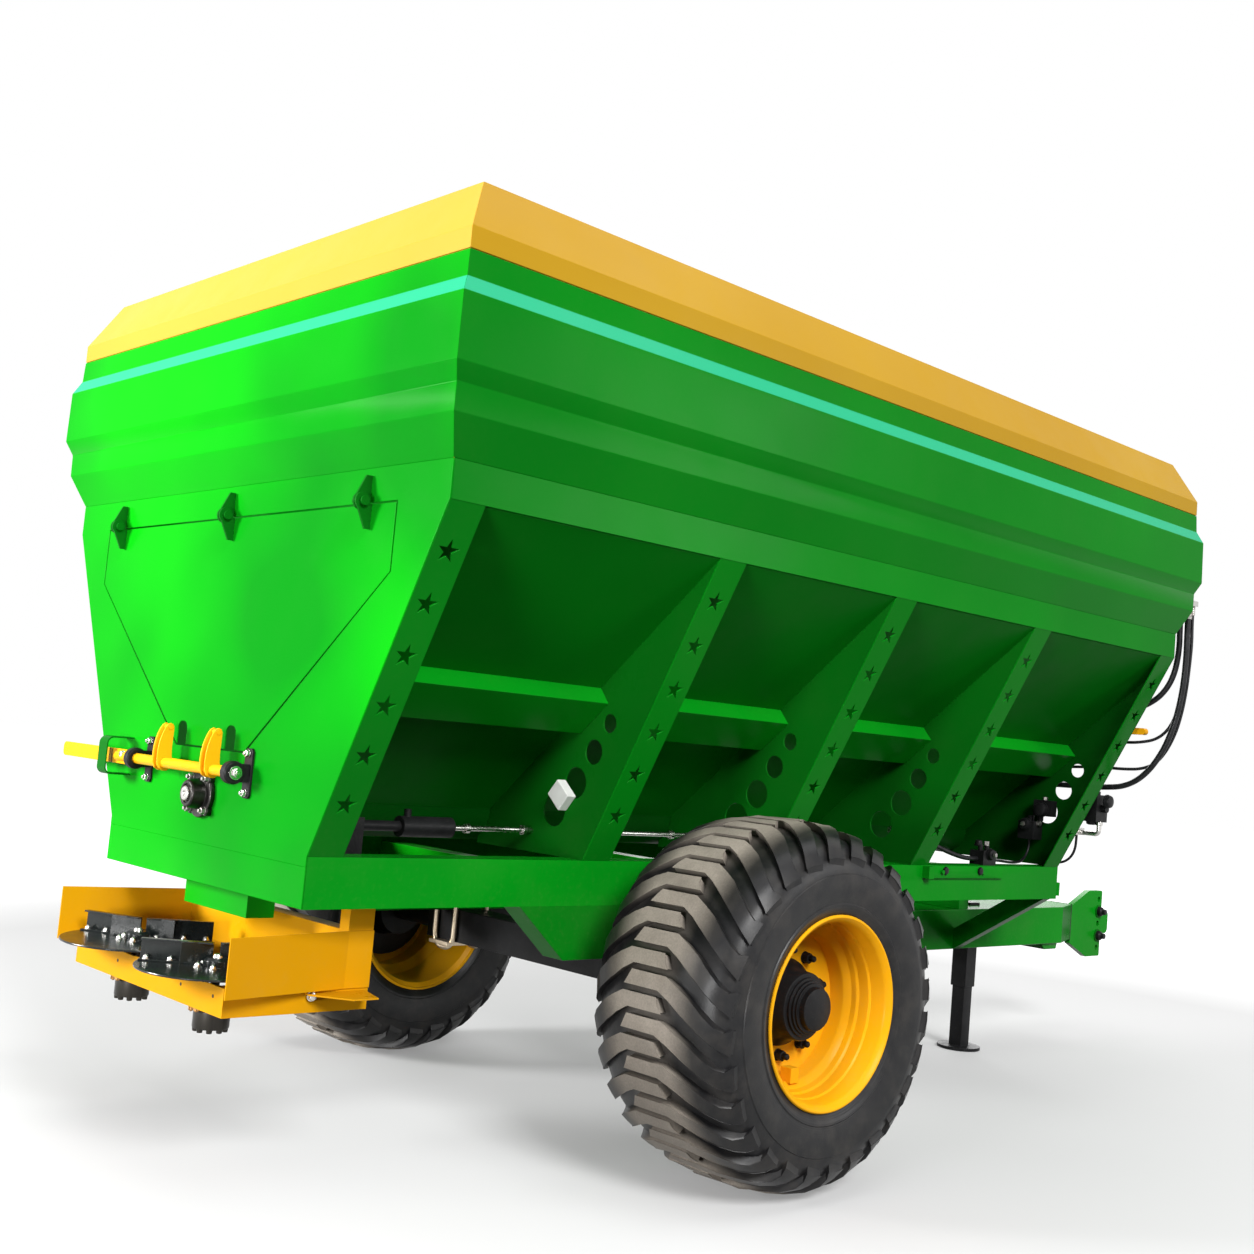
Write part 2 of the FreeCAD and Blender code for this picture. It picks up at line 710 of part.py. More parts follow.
def make_auger():
    start, end = auger_end_gap + hopper_sheet, body_length - hopper_sheet - auger_end_gap
    shaft = rod(auger_shaft_radius, V(0, start, trough_height), V(0, end, trough_height))
    journals = rod(journal_radius, V(0, -52, trough_height), V(0, body_length + 40, trough_height))
    length = end - start - 2 * auger_end_gap
    helix = Part.makeHelix(auger_pitch, length, auger_radius)
    inner = auger_shaft_radius - 2
    blade = outline([V(inner, 0, -auger_flight / 2), V(auger_radius, 0, -auger_flight / 2),
                     V(auger_radius, 0, auger_flight / 2), V(inner, 0, auger_flight / 2)])
    sweep = Part.Wire(helix.Edges).makePipeShell([blade], True, True)
    sweep.rotate(V(0, 0, 0), V(1, 0, 0), -90)
    sweep.translate(V(0, start + auger_end_gap, trough_height))
    save("auger", [fused([shaft, journals, sweep])])


def make_bearings():
    """Flanged bearings that carry the auger's journals outside both end panels."""
    housings = []
    for face, out in ((0.0, -1), (body_length, 1)):
        end = out * bearing_length
        profile = [(0, journal_radius + pin_gap), (end, journal_radius + pin_gap), (end, 30),
                   (out * 30, 38), (out * 14, 42), (out * 14, bearing_flange_radius),
                   (0, bearing_flange_radius)]
        housings.append(turned_profile(profile, V(0, face, trough_height), "y"))
    save("auger_bearings", housings)


def make_auger_drive():
    """Hydraulic motor and gear case that turn the auger at the front panel."""
    front = body_length + bearing_length + 4
    case_end = drive_case_length
    end = case_end + drive_motor_length
    profile = [(0, 48), (0, drive_case_radius), (case_end - 20, drive_case_radius),
               (case_end, drive_case_radius - 15), (case_end, drive_motor_radius),
               (end, drive_motor_radius), (end, 0), (20, 0), (20, 48)]
    case = turned_profile([(front + a, r) for a, r in profile], V(0, 0, trough_height), "y")
    feet = []
    for side in (-1, 1):
        x0, x1 = sorted((side * (drive_case_radius - 25), side * (drive_case_radius - 1)))
        feet.append(box(x0, x1, body_length, front + 60, trough_height - 14, trough_height + 14))
    save("auger_drive", [fused([case, *feet])])


# chassis

def hollow_bar(x0, x1, y0, y1, z0, z1, wall, along):
    outer = box(x0, x1, y0, y1, z0, z1)
    inset = {"x": (0, wall, wall), "y": (wall, 0, wall), "z": (wall, wall, 0)}[along]
    inner = box(x0 + inset[0], x1 - inset[0], y0 + inset[1], y1 - inset[1], z0 + inset[2], z1 - inset[2])
    return outer.cut(inner)


def make_rails():
    rail = hollow_bar(rail_half - rail_width, rail_half, hopper_sheet, body_length - hopper_sheet,
                      rail_bottom, rail_top, rail_wall, "y")
    cap = box(rail_half - rail_width, rail_half, body_length - hopper_sheet, body_length,
              rail_bottom, rail_top)
    plate = box(rail_half, rail_half + 12, rail_plate_from, rail_plate_to, rail_top - 52, rail_top - 2)
    block = box(rail_half, rail_half + 34, rail_plate_from - 36, rail_plate_from,
                rail_top - 52, rail_top - 2)
    bolts = [rod(9, V(rail_half, rail_plate_from + at, rail_top - 26),
                 V(rail_half + 22, rail_plate_from + at, rail_top - 26)) for at in (85, 388)]
    rail = fused([rail, cap, plate, block, *bolts])
    post = V(rail_half - socket_radius, body_length + socket_radius, rail_bottom + 14)
    socket = rod(socket_radius, post, post + V(0, 0, socket_length))
    tab = box(post.x - 8, post.x + 8, body_length, post.y, post.z + 8, post.z + socket_length - 8)
    socket = fused([socket, tab]).cut(rod(post_radius + seat_gap, post + V(0, 0, 10), post + V(0, 0, 90)))
    save("chassis_rails", [fused([rail, socket]), mirrored(rail)])
    save("marker_post", [rod(post_radius, post + V(0, 0, 10), V(post.x, post.y, post_height))])
    plate = box(-rail_half, rail_half, 0, hopper_sheet, rail_bottom, rail_top - panel_skirt_height)
    lip = box(-rail_half + rail_width, rail_half - rail_width, 0, 60,
              rail_bottom, rail_bottom + hopper_sheet)
    return fused([plate, lip])


def make_crossmembers():
    inner = rail_half - rail_width
    members = [make_rails()]
    starts = [spinner_post_front - crossmember_width, *rib_starts[1:-1], body_length - crossmember_width]
    for y0 in starts:
        members.append(hollow_bar(-inner, inner, y0, y0 + crossmember_width,
                                  rail_bottom, rail_bottom + crossmember_depth, rail_wall, "x"))
    save("crossmembers", members)


def make_axle():
    y, z, half = axle_from_rear, axle_height, axle_square / 2
    beam = box(-axle_end_half, axle_end_half, y - half, y + half, z - half, z + half)
    spindle_end = hub_outer_end - 60
    spindles = rod(spindle_radius, V(-spindle_end, y, z), V(spindle_end, y, z))
    save("axle_beam", [fused([beam, spindles])])
    hanger_foot = z + half
    x0, x1 = rail_half - rail_width, rail_half
    outer = [(y - hanger_top_half, rail_bottom), (y - hanger_bottom_half, hanger_foot),
             (y + hanger_bottom_half, hanger_foot), (y + hanger_top_half, rail_bottom)]
    hanger = plate_yz(outer, x0, x1)
    core = plate_yz(outer, x0 + hanger_sheet, x1 - hanger_sheet)
    cut_low = box(x0, x1, y - hanger_top_half, y + hanger_top_half, hanger_foot, hanger_foot + hanger_sheet)
    hollow = core.cut(cut_low).cut(box(x0, x1, y - hanger_top_half, y - hanger_bottom_half + hanger_sheet,
                                       hanger_foot, rail_bottom))
    hollow = hollow.cut(box(x0, x1, y + hanger_bottom_half - hanger_sheet, y + hanger_top_half,
                            hanger_foot, rail_bottom))
    save("axle_hangers", both_sides([hanger.cut(hollow)]))
    saddle = box(x0 - 10, x1 + 10, y - half - 40, y + half + 40, z - half - saddle_thickness, z - half)
    clamps = [saddle]
    middle = rail_half - rail_width / 2
    leg = rail_width / 2 + u_bar / 2 + seat_gap
    for side in (-1, 1):
        bolt_y = y + side * (half + u_bar / 2 + seat_gap)
        bottom = z - half - saddle_thickness - u_bar / 2 - seat_gap
        top = rail_bottom - seat_gap
        path = [V(middle - leg, bolt_y, top), V(middle - leg, bolt_y, bottom),
                V(middle + leg, bolt_y, bottom), V(middle + leg, bolt_y, top)]
        clamps.append(tube_along(path, u_bar / 2))
    save("axle_clamps", both_sides(clamps))


def make_drawbar():
    front = drawbar_front
    beam = hollow_bar(-drawbar_half, drawbar_half, drawbar_rear, front, drawbar_bottom, drawbar_top,
                      drawbar_wall, "y")
    tip = tongue_width / 2 + head_plate
    nose = plate_xy([(-drawbar_half, front), (drawbar_half, front), (tip, head_rear), (-tip, head_rear)],
                    drawbar_bottom, drawbar_top)
    foot = plate_yz([(front - 165, drawbar_bottom), (front - 130, drawbar_bottom - 32),
                     (front - 15, drawbar_bottom - 32), (front - 5, drawbar_bottom)],
                    -drawbar_half + 20, drawbar_half - 20)
    half = jack_outer / 2 + seat_gap
    sleeve = box(-half, half, jack_from_rear - half, jack_from_rear + half,
                 drawbar_bottom - 1, drawbar_top + 1)
    save("drawbar_beam", [fused([beam, nose, foot]).cut(sleeve)])
    mounts = []
    for start in (rib_starts[2], rib_starts[3], body_length - crossmember_width):
        mounts.append(hollow_bar(-drawbar_half, drawbar_half, start, start + crossmember_width,
                                 drawbar_top, rail_bottom, rail_wall, "z"))
    save("drawbar_mounts", mounts)


def make_braces():
    run = rail_half - drawbar_half
    low, high = drawbar_bottom, rail_bottom
    slope = (high - low) / run
    points = [(drawbar_half, low), (rail_half, high), (rail_half - brace_height / slope, high),
              (drawbar_half, low + brace_height)]
    web = plate_xz(points, brace_rear, brace_rear + brace_sheet)
    rise = brace_sheet * math.sqrt(1 + slope ** 2)
    lower = [(drawbar_half, low), (rail_half, high), (rail_half - rise / slope, high),
             (drawbar_half, low + rise)]
    flange = plate_xz(lower, brace_rear, brace_rear + brace_flange)
    save("drawbar_braces", both_sides([fused([web, flange])]))


def make_hitch():
    middle, half = head_middle_height, head_half_height
    rear, front = head_rear, head_front
    beam_half = (drawbar_top - drawbar_bottom) / 2 + 8
    points = [(rear, middle - beam_half), (rear, middle + beam_half), (rear + head_corner, middle + half),
              (front, middle + half), (front, middle - half), (rear + head_corner, middle - half)]
    x0, x1 = tongue_width / 2, tongue_width / 2 + head_plate
    head = plate_yz(points, x0, x1, [0, 0, 0, 12, 12, 0])
    bolt_y = front - head_bolt_inset
    heights = [middle + (i - 2) * head_bolt_pitch for i in range(5)]
    holes = [rod(head_bolt_radius + pin_gap, V(x0 - 1, bolt_y, z), V(x1 + 1, bolt_y, z)) for z in heights]
    save("hitch_head", [head.cut(holes)])
    low, high = middle - tongue_height / 2, middle + tongue_height / 2
    tongue = plate_yz([(front - tongue_overlap, low), (front - tongue_overlap, high), (foremost, high),
                       (foremost, low)], -x0, x0 - seat_gap, [10, 10, 28, 28])
    bolt_heights = heights[1:4:2]
    bores = [rod(head_bolt_radius + pin_gap, V(-x0 - 1, bolt_y, z), V(x0, bolt_y, z)) for z in bolt_heights]
    eye_y = foremost - hitch_eye_inset
    eye = rod(hitch_eye_radius, V(0, eye_y, low - 1), V(0, eye_y, high + 1))
    save("hitch_tongue", [tongue.cut([*bores, eye])])
    bolts = []
    nut_radius = head_bolt_radius * 1.65
    for z in bolt_heights:
        shank = rod(head_bolt_radius, V(-x0 - 22, bolt_y, z), V(x1 + 42, bolt_y, z))
        nut = rod(nut_radius, V(x1 + seat_gap, bolt_y, z), V(x1 + 24, bolt_y, z))
        cap = rod(nut_radius, V(-x0 - 22, bolt_y, z), V(-x0 - seat_gap, bolt_y, z))
        bolts.append(fused([shank, nut, cap]))
    save("hitch_bolts", bolts)


def make_jack():
    half = jack_outer / 2
    y = jack_from_rear
    tube = hollow_bar(-half, half, y - half, y + half, jack_tube_foot, drawbar_top + 6, jack_tube_wall, "z")
    cap = box(-half, half, y - half, y + half, drawbar_top + 6, drawbar_top + 14)
    save("jack_tube", [fused([tube, cap])])
    inner = jack_inner / 2
    leg = box(-inner, inner, y - inner, y + inner, jack_foot_plate, jack_tube_foot + jack_overlap)
    foot = rod(jack_foot_radius, V(0, y, 0), V(0, y, jack_foot_plate))
    save("jack_leg", [fused([leg, foot])])


# wheels

def tyre_point(along, angle, radius):
    turn = math.radians(angle)
    return V(along, radius * math.cos(turn), radius * math.sin(turn))


def facet(*corners):
    return Part.Face(Part.makePolygon([*corners, corners[0]]))


def lug_corner(side, index, turn, trailing, level):
    """Corner of a lug, at its top for level 0 and at the groove's floor for level 1."""
    share, angle = lug_plan[index][trailing]
    fall, inset, height_share = lug_levels[index]
    along = share * tyre_width / 2 - level * inset
    radius = tyre_radius - fall - level * height_share * lug_height
    stagger = 0 if side > 0 else 180.0 / lug_count
    return tyre_point(side * along, turn + stagger + angle, radius)


def lug_faces(side, turn):
    """Top, flanks and tip of one lug."""
    faces = []
    last = len(lug_plan) - 2
    for i in range(last + 1):
        lead = [lug_corner(side, i + k, turn, 0, level) for level in (0, 1) for k in (0, 1)]
        trail = [lug_corner(side, i + k, turn, 1, level) for level in (0, 1) for k in (0, 1)]
        faces += [facet(lead[0], lead[1], trail[1]), facet(lead[0], trail[1], trail[0])]
        for edge in (lead, trail):
            faces.append(facet(edge[0], edge[1], edge[2]))
            if i < last:
                faces.append(facet(edge[1], edge[3], edge[2]))
    tip = [lug_corner(side, 0, turn, edge, level) for level in (0, 1) for edge in (0, 1)]
    return [*faces, facet(tip[0], tip[1], tip[2]), facet(tip[1], tip[3], tip[2])]


def groove_faces(side, turn):
    """Floor from a lug to the next on the same side, round the tip of the other side's lug."""
    pitch = 360.0 / lug_count
    other_turn = turn if side > 0 else turn + pitch
    own = [lug_corner(side, i, turn, 1, 1) for i in range(5)]
    after = [lug_corner(side, i, turn + pitch, 0, 1) for i in range(5)]
    tip = [lug_corner(-side, 0, other_turn, edge, 1) for edge in (0, 1)]
    bend = lug_corner(-side, 1, other_turn, 0, 1)
    triangles = [(own[0], own[1], tip[0]), (own[0], tip[0], bend), (own[1], own[2], tip[0]),
                 (tip[0], own[2], tip[1]), (tip[1], own[2], after[1]), (after[1], own[2], after[2])]
    for i in (2, 3):
        triangles += [(own[i], own[i + 1], after[i]), (own[i + 1], after[i + 1], after[i])]
    return [facet(*corners) for corners in triangles]


def side_wall_faces(side, turn):
    """One pitch of a side wall, its bead and the hollow behind it."""
    pitch = 360.0 / lug_count
    stagger = 0 if side > 0 else pitch / 2
    (_, lead_angle), (_, trail_angle) = lug_plan[-1]
    start = turn + stagger + (lead_angle + trail_angle) / 2
    half = tyre_width / 2
    bead = rim_width / 2 - 18
    seat = (rim_seat_radius + seat_gap) / math.cos(math.pi / lug_count)
    bulge = tyre_radius - bulge_below_tread
    rings = [(half, bulge), (bead, seat), (bead - bead_width, seat), (half - tyre_wall, bulge),
             (0.72 * half - tyre_wall, tyre_radius - lug_height - 2 * tyre_wall)]
    first, second = [[tyre_point(side * along, start + k * pitch, radius) for along, radius in rings]
                     for k in (0, 1)]
    lead, trail = [lug_corner(side, len(lug_plan) - 1, turn, edge, 0) for edge in (0, 1)]
    after = lug_corner(side, len(lug_plan) - 1, turn + pitch, 0, 0)
    faces = [facet(lead, trail, first[0]), facet(trail, after, first[0]), facet(after, second[0], first[0])]
    for i in range(len(rings) - 1):
        faces.append(facet(first[i], first[i + 1], second[i + 1], second[i]))
    along, radius = rings[-1]
    other = tyre_point(-side * along, start + pitch / 2, radius)
    return [*faces, facet(first[-1], second[-1], other)]


def make_tyre():
    """Tyre of the right wheel, a hollow shell whose lugs belong to it, about the X axis."""
    faces = []
    for i in range(lug_count):
        turn = lug_turn + 360.0 / lug_count * i
        for side in (1, -1):
            faces += lug_faces(side, turn) + groove_faces(side, turn) + side_wall_faces(side, turn)
    shell = Part.makeShell(faces)
    shell.sewShape()
    tyre = Part.makeSolid(shell)
    tyre.translate(V(tyre_track_half, axle_from_rear, axle_height))
    return tyre


def make_wheel(side, name):
    y, z = axle_from_rear, axle_height
    middle = V(side * tyre_track_half, y, z)
    w = rim_width / 2
    well = rim_seat_radius - rim_well_depth
    sheet = rim_sheet
    ledge = rim_seat_radius - 6
    well_start = w - rim_ledge - rim_ramp
    well_end = well_start - rim_well_width
    outer = [(w, rim_flange_radius), (w - 10, rim_flange_radius), (w - 16, rim_seat_radius),
             (w - rim_ledge, ledge), (well_start, well), (well_end, well), (well_end - rim_ramp, ledge),
             (-w + 16, rim_seat_radius), (-w + 10, rim_flange_radius), (-w, rim_flange_radius)]
    inner = [(a, r - sheet) for a, r in reversed(outer)]
    barrel = [(side * a, r) for a, r in outer + inner]
    rim = turned_profile(barrel, middle, "x")
    disc_x = side * (hub_outer_end - wheel_disc_inset)
    plate = rod(well - sheet / 2, V(disc_x, y, z), V(disc_x - side * wheel_disc_sheet, y, z))
    centre_hole = rod(hub_radius + seat_gap, V(disc_x + side, y, z),
                      V(disc_x - side * 2 * wheel_disc_sheet, y, z))
    block = box(-22, 22, -20, 20, 0, 48)
    block.translate(V(disc_x + side * 30, y, z - well + sheet / 2))
    save("rim_" + name, [fused([rim, plate.cut(centre_hole), block])])
    face = side * hub_outer_end
    back = disc_x - side * wheel_disc_sheet
    spindle = spindle_radius + pin_gap
    length = abs(face - back)
    profile = [(0, 0), (0, hub_cap_radius * 0.8), (14, hub_cap_radius * 0.8), (14, hub_cap_radius),
               (44, hub_cap_radius), (44, hub_cap_radius + 12), (62, hub_cap_radius + 12),
               (62, hub_radius), (length + seat_gap, hub_radius), (length + seat_gap, hub_flange_radius),
               (length + 22, hub_flange_radius), (length + 22, hub_radius + 8), (length + 130, hub_radius),
               (length + 130, spindle), (56, spindle), (56, 0)]
    hub = turned_profile([(face - side * a, r) for a, r in profile], V(0, y, z), "x")
    nuts = []
    for i in range(wheel_nut_count):
        angle = 2 * math.pi * (i + 0.5) / wheel_nut_count
        at = V(disc_x + side * seat_gap, y + wheel_nut_circle * math.cos(angle),
               z + wheel_nut_circle * math.sin(angle))
        nut = rod(wheel_nut_radius, at, at + V(side * wheel_nut_height, 0, 0))
        stud = rod(wheel_nut_radius * 0.6, at, at + V(side * (wheel_nut_height + 16), 0, 0))
        nuts.append(fused([nut, stud]))
    save("hub_" + name, [hub, *nuts])


# spreading unit

def make_spinner_frame():
    x1, x0 = spinner_half, spinner_half - spinner_rail_width
    low, high = spinner_floor, spinner_floor + spinner_rail_height
    post_rear = spinner_post_front - spinner_post_depth
    bars = [box(x0, x1, spinner_rear, post_rear, low, high),
            box(x0, x1, post_rear, spinner_post_front, low, rail_bottom)]
    bars += [mirrored(bar) for bar in bars]
    rear_bar = box(-x0, x0, spinner_rear, spinner_rear + 8, low, low + spinner_bar_height)
    rear_lip = box(-x0, x0, spinner_rear, spinner_rear + 45, low, low + 8)
    front_bar = box(-x0, x0, post_rear, spinner_post_front, low, low + spinner_bar_height)
    pieces = [*bars, rear_bar, rear_lip, front_bar]
    for side in (-1, 1):
        cx = side * disc_station
        pieces.append(box(cx - 90, cx + 90, spinner_rear, post_rear + 2, low, low + motor_plate))
    frame = fused(pieces)
    holes = [rod(motor_neck_radius + seat_gap, V(side * disc_station, disc_from_rear, low - 5),
                 V(side * disc_station, disc_from_rear, high)) for side in (-1, 1)]
    save("spinner_frame", [frame.cut(holes)])


def make_guards():
    """Flared side plates, the wall behind the discs and the small wing plates."""
    low = spinner_floor + spinner_rail_height
    post_rear = spinner_post_front - spinner_post_depth
    t = spinner_sheet
    side_plate = plate_xy([(spinner_half, spinner_post_front), (spinner_half, post_rear),
                           (spinner_half + guard_flare, guard_rear),
                           (spinner_half + guard_flare + t, guard_rear),
                           (spinner_half + t, post_rear), (spinner_half + t, spinner_post_front)],
                          low - 18, low + guard_height)
    wall = box(-spinner_half + spinner_rail_width, spinner_half - spinner_rail_width,
               post_rear, post_rear + t, low, low + guard_height)
    flange = box(-spinner_half + spinner_rail_width, spinner_half - spinner_rail_width,
                 post_rear, post_rear + 60, low + guard_height - t, low + guard_height)
    wing = plate_xy([(spinner_half, spinner_post_front - 10), (spinner_half, wing_rear),
                     (spinner_half + 20, wing_rear), (spinner_half + wing_reach, wing_rear + wing_depth),
                     (spinner_half + wing_reach, wing_rear + 2 * wing_depth)], low - 30, low - 30 + t)
    save("spinner_guards", [*both_sides([side_plate, wing]), fused([wall, flange])])


def make_disc(side, name):
    centre = V(side * disc_station, disc_from_rear, 0)
    z = disc_height
    plate = rod(disc_radius, V(0, 0, z - disc_sheet), V(0, 0, z))
    hub = rod(disc_hub_radius, V(0, 0, z - disc_sheet - 30), V(0, 0, z + 26))
    bore = rod(motor_shaft_radius + pin_gap, V(0, 0, z - 80), V(0, 0, z + 14))
    pieces = [plate, hub]
    for turn in (0, 180):
        half = vane_length / 2
        web = box(-half + 60, half, vane_offset, vane_offset + vane_sheet, z, z + vane_height)
        top = box(-half + 60, half, vane_offset, vane_offset + vane_lip, z + vane_height - vane_sheet,
                  z + vane_height)
        base = box(-half + 60, half, vane_offset, vane_offset + vane_lip, z, z + vane_sheet)
        vane = fused([web, top, base])
        vane.rotate(V(0, 0, 0), V(0, 0, 1), turn)
        pieces.append(vane)
    reach = rod(disc_radius, V(0, 0, z - 60), V(0, 0, z + vane_height + 10))
    disc = fused(pieces).common(reach).cut(bore)
    disc.rotate(V(0, 0, 0), V(0, 0, 1), vane_turn)
    disc.translate(centre)
    save("spreading_disc_" + name, [disc])


def make_motors():
    motors = []
    top = motor_foot + motor_height
    for side in (-1, 1):
        centre = V(side * disc_station, disc_from_rear, 0)
        body = rod(motor_radius, V(0, 0, motor_foot), V(0, 0, top - 8))
        cap = rod(motor_radius * 0.8, V(0, 0, top - 8), V(0, 0, top - seat_gap))
        neck = rod(motor_neck_radius, V(0, 0, top - seat_gap), V(0, 0, spinner_floor + motor_plate + 8))
        shaft = rod(motor_shaft_radius, V(0, 0, top), V(0, 0, disc_height + 10))
        cutters = []
        for i in range(9):
            angle = math.radians(40 * i)
            slot = box(motor_radius - 14, motor_radius + 2, -9, 9, motor_foot - 1, motor_foot + 10)
            slot.rotate(V(0, 0, 0), V(0, 0, 1), math.degrees(angle))
            cutters.append(slot)
        motor = fused([body.cut(cutters), cap, neck, shaft])
        motor.translate(centre)
        motors.append(motor)
    save("disc_motors", motors)


def make_chute():
    """Duct under the trough's mouth that drops the fertilizer between the discs."""
    top = trough_height - math.sqrt(trough_outer ** 2 - chute_neck_half ** 2) - 1

    def shell(grow):
        lower = box(-chute_half + grow, chute_half - grow, chute_rear + grow, chute_front - grow,
                    chute_foot - (1 if grow else 0), chute_shoulder)
        upper = plate_xz([(-chute_half + grow, chute_shoulder), (chute_half - grow, chute_shoulder),
                          (chute_neck_half - grow, top), (-chute_neck_half + grow, top)],
                         chute_rear + grow, chute_front - grow)
        neck = box(-chute_neck_half + grow, chute_neck_half - grow, chute_rear + grow, chute_front - grow,
                   top - 1, trough_height)
        return fused([lower, upper, neck])

    trough = rod(trough_outer + seat_gap, V(0, 0, trough_height), V(0, body_length, trough_height))
    save("discharge_chute", [shell(0).cut(shell(chute_sheet)).cut(trough)])


# hydraulics and small fittings

def make_flank_rod():
    bar = rod(rod_radius, V(rod_side, rod_from, rod_height), V(rod_side, rod_to, rod_height))
    collars = [rod(rod_radius * 1.8, V(rod_side, at, rod_height), V(rod_side, at + 16, rod_height))
               for at in (rod_from + 60, rod_from + 300, rib_starts[2] - 240, rod_to - 60)]
    save("flank_rod", [fused([bar, *collars])])


def gate_cylinder():
    """Cylinder that drives the rod, its eye pinned between two ears on the rear crossmember."""
    back = rod_from - cylinder_length
    body = rod(cylinder_radius, V(rod_side, back, rod_height), V(rod_side, rod_from - seat_gap, rod_height))
    pin_y = spinner_post_front - crossmember_width / 2
    stem = rod(cylinder_radius / 2, V(rod_side, pin_y, rod_height), V(rod_side, back, rod_height))
    foot = rail_bottom + crossmember_depth
    ears = [box(rod_side + x, rod_side + x + 8, pin_y - 34, pin_y + 34, foot, rod_height + 26)
            for x in (-34, 26)]
    plate = box(rod_side - 45, rod_side + 45, pin_y - 36, pin_y + 36, foot, foot + 6)
    pin = rod(10, V(rod_side - 42, pin_y, rod_height), V(rod_side + 42, pin_y, rod_height))
    port = V(rod_side, back + 30, rod_height)
    return fused([body, stem, *ears, plate, pin, rod(12, port, port + V(0, 0, cylinder_radius + 22))])


def front_valve():
    """Valve ahead of the front panel, on an arm, with a shut-off handle above it."""
    x, y, z = flange_line(front_valve_height) - 60, hose_plane, front_valve_height
    arm = box(x - 60, x, body_length, y, z - 30, z + 30)
    body = box(x, x + 62, y - 50, y + 50, z - valve_half, z + valve_half)
    knob = rod(17, V(x + 62, y, z), V(x + 88, y, z))
    cap = rod(22, V(x + 26, y, z + valve_half), V(x + 26, y, z + valve_half + 16))
    return fused([arm, body, knob, cap])


def shut_off_handle():
    x = flange_line(handle_height) - 40
    arm = box(x - 40, x, body_length, hose_plane - 10, handle_height - 12, handle_height + 12)
    grip = plate_xz([(x - 40, handle_height - 15), (x + handle_reach, handle_height - 15),
                     (x + handle_reach, handle_height + 15), (x - 40, handle_height + 15)],
                    hose_plane - 40, hose_plane - 10, [0, 14, 14, 0])
    return fused([arm, grip])


def rail_valves():
    """Valve on the rail's top and the two behind the front panel."""
    x0, x1 = rail_valve_side - 35, rail_valve_side + 35
    block = box(x0, x1, rail_valve_from, rail_valve_to, rail_top, rail_top + 62)
    knobs = [rod(11, V(rail_valve_side, at, rail_top + 62), V(rail_valve_side, at, rail_top + 84))
             for at in (rail_valve_from + 25, rail_valve_to - 25)]
    panel = body_length - hopper_sheet
    top = web_valve_foot + web_valve_height
    body = box(web_valve_side - 40, web_valve_side + 40, panel - web_valve_depth, panel, web_valve_foot, top)
    stud_y = panel - web_valve_depth / 2
    stud = rod(16, V(web_valve_side, stud_y, top), V(web_valve_side, stud_y, top + 26))
    upper = box(upper_valve_side - 46, upper_valve_side + 46, panel - 50, panel,
                upper_valve_foot, upper_valve_foot + upper_valve_height)
    spout = rod(14, V(upper_valve_side - 20, panel - 25, upper_valve_foot - 24),
                V(upper_valve_side - 20, panel - 25, upper_valve_foot))
    return [fused([block, *knobs]), fused([body, stud]), fused([upper, spout])]


def make_hydraulics():
    save("hydraulic_valves", [gate_cylinder(), front_valve(), shut_off_handle(), *rail_valves()])


def route_points(route, spaced):
    """Points of a route whose middle figures are shares of the way between two stations."""
    rear, front = spaced
    return [V(x, rear + share * (front - rear), z) for x, share, z in route]


def hose_union(end, depth, radius):
    """Block on the front panel whose side a hose ends against."""
    return box(end.x - hose_block, end.x, body_length, end.y + depth, end.z - radius - 3, end.z + radius + 3)


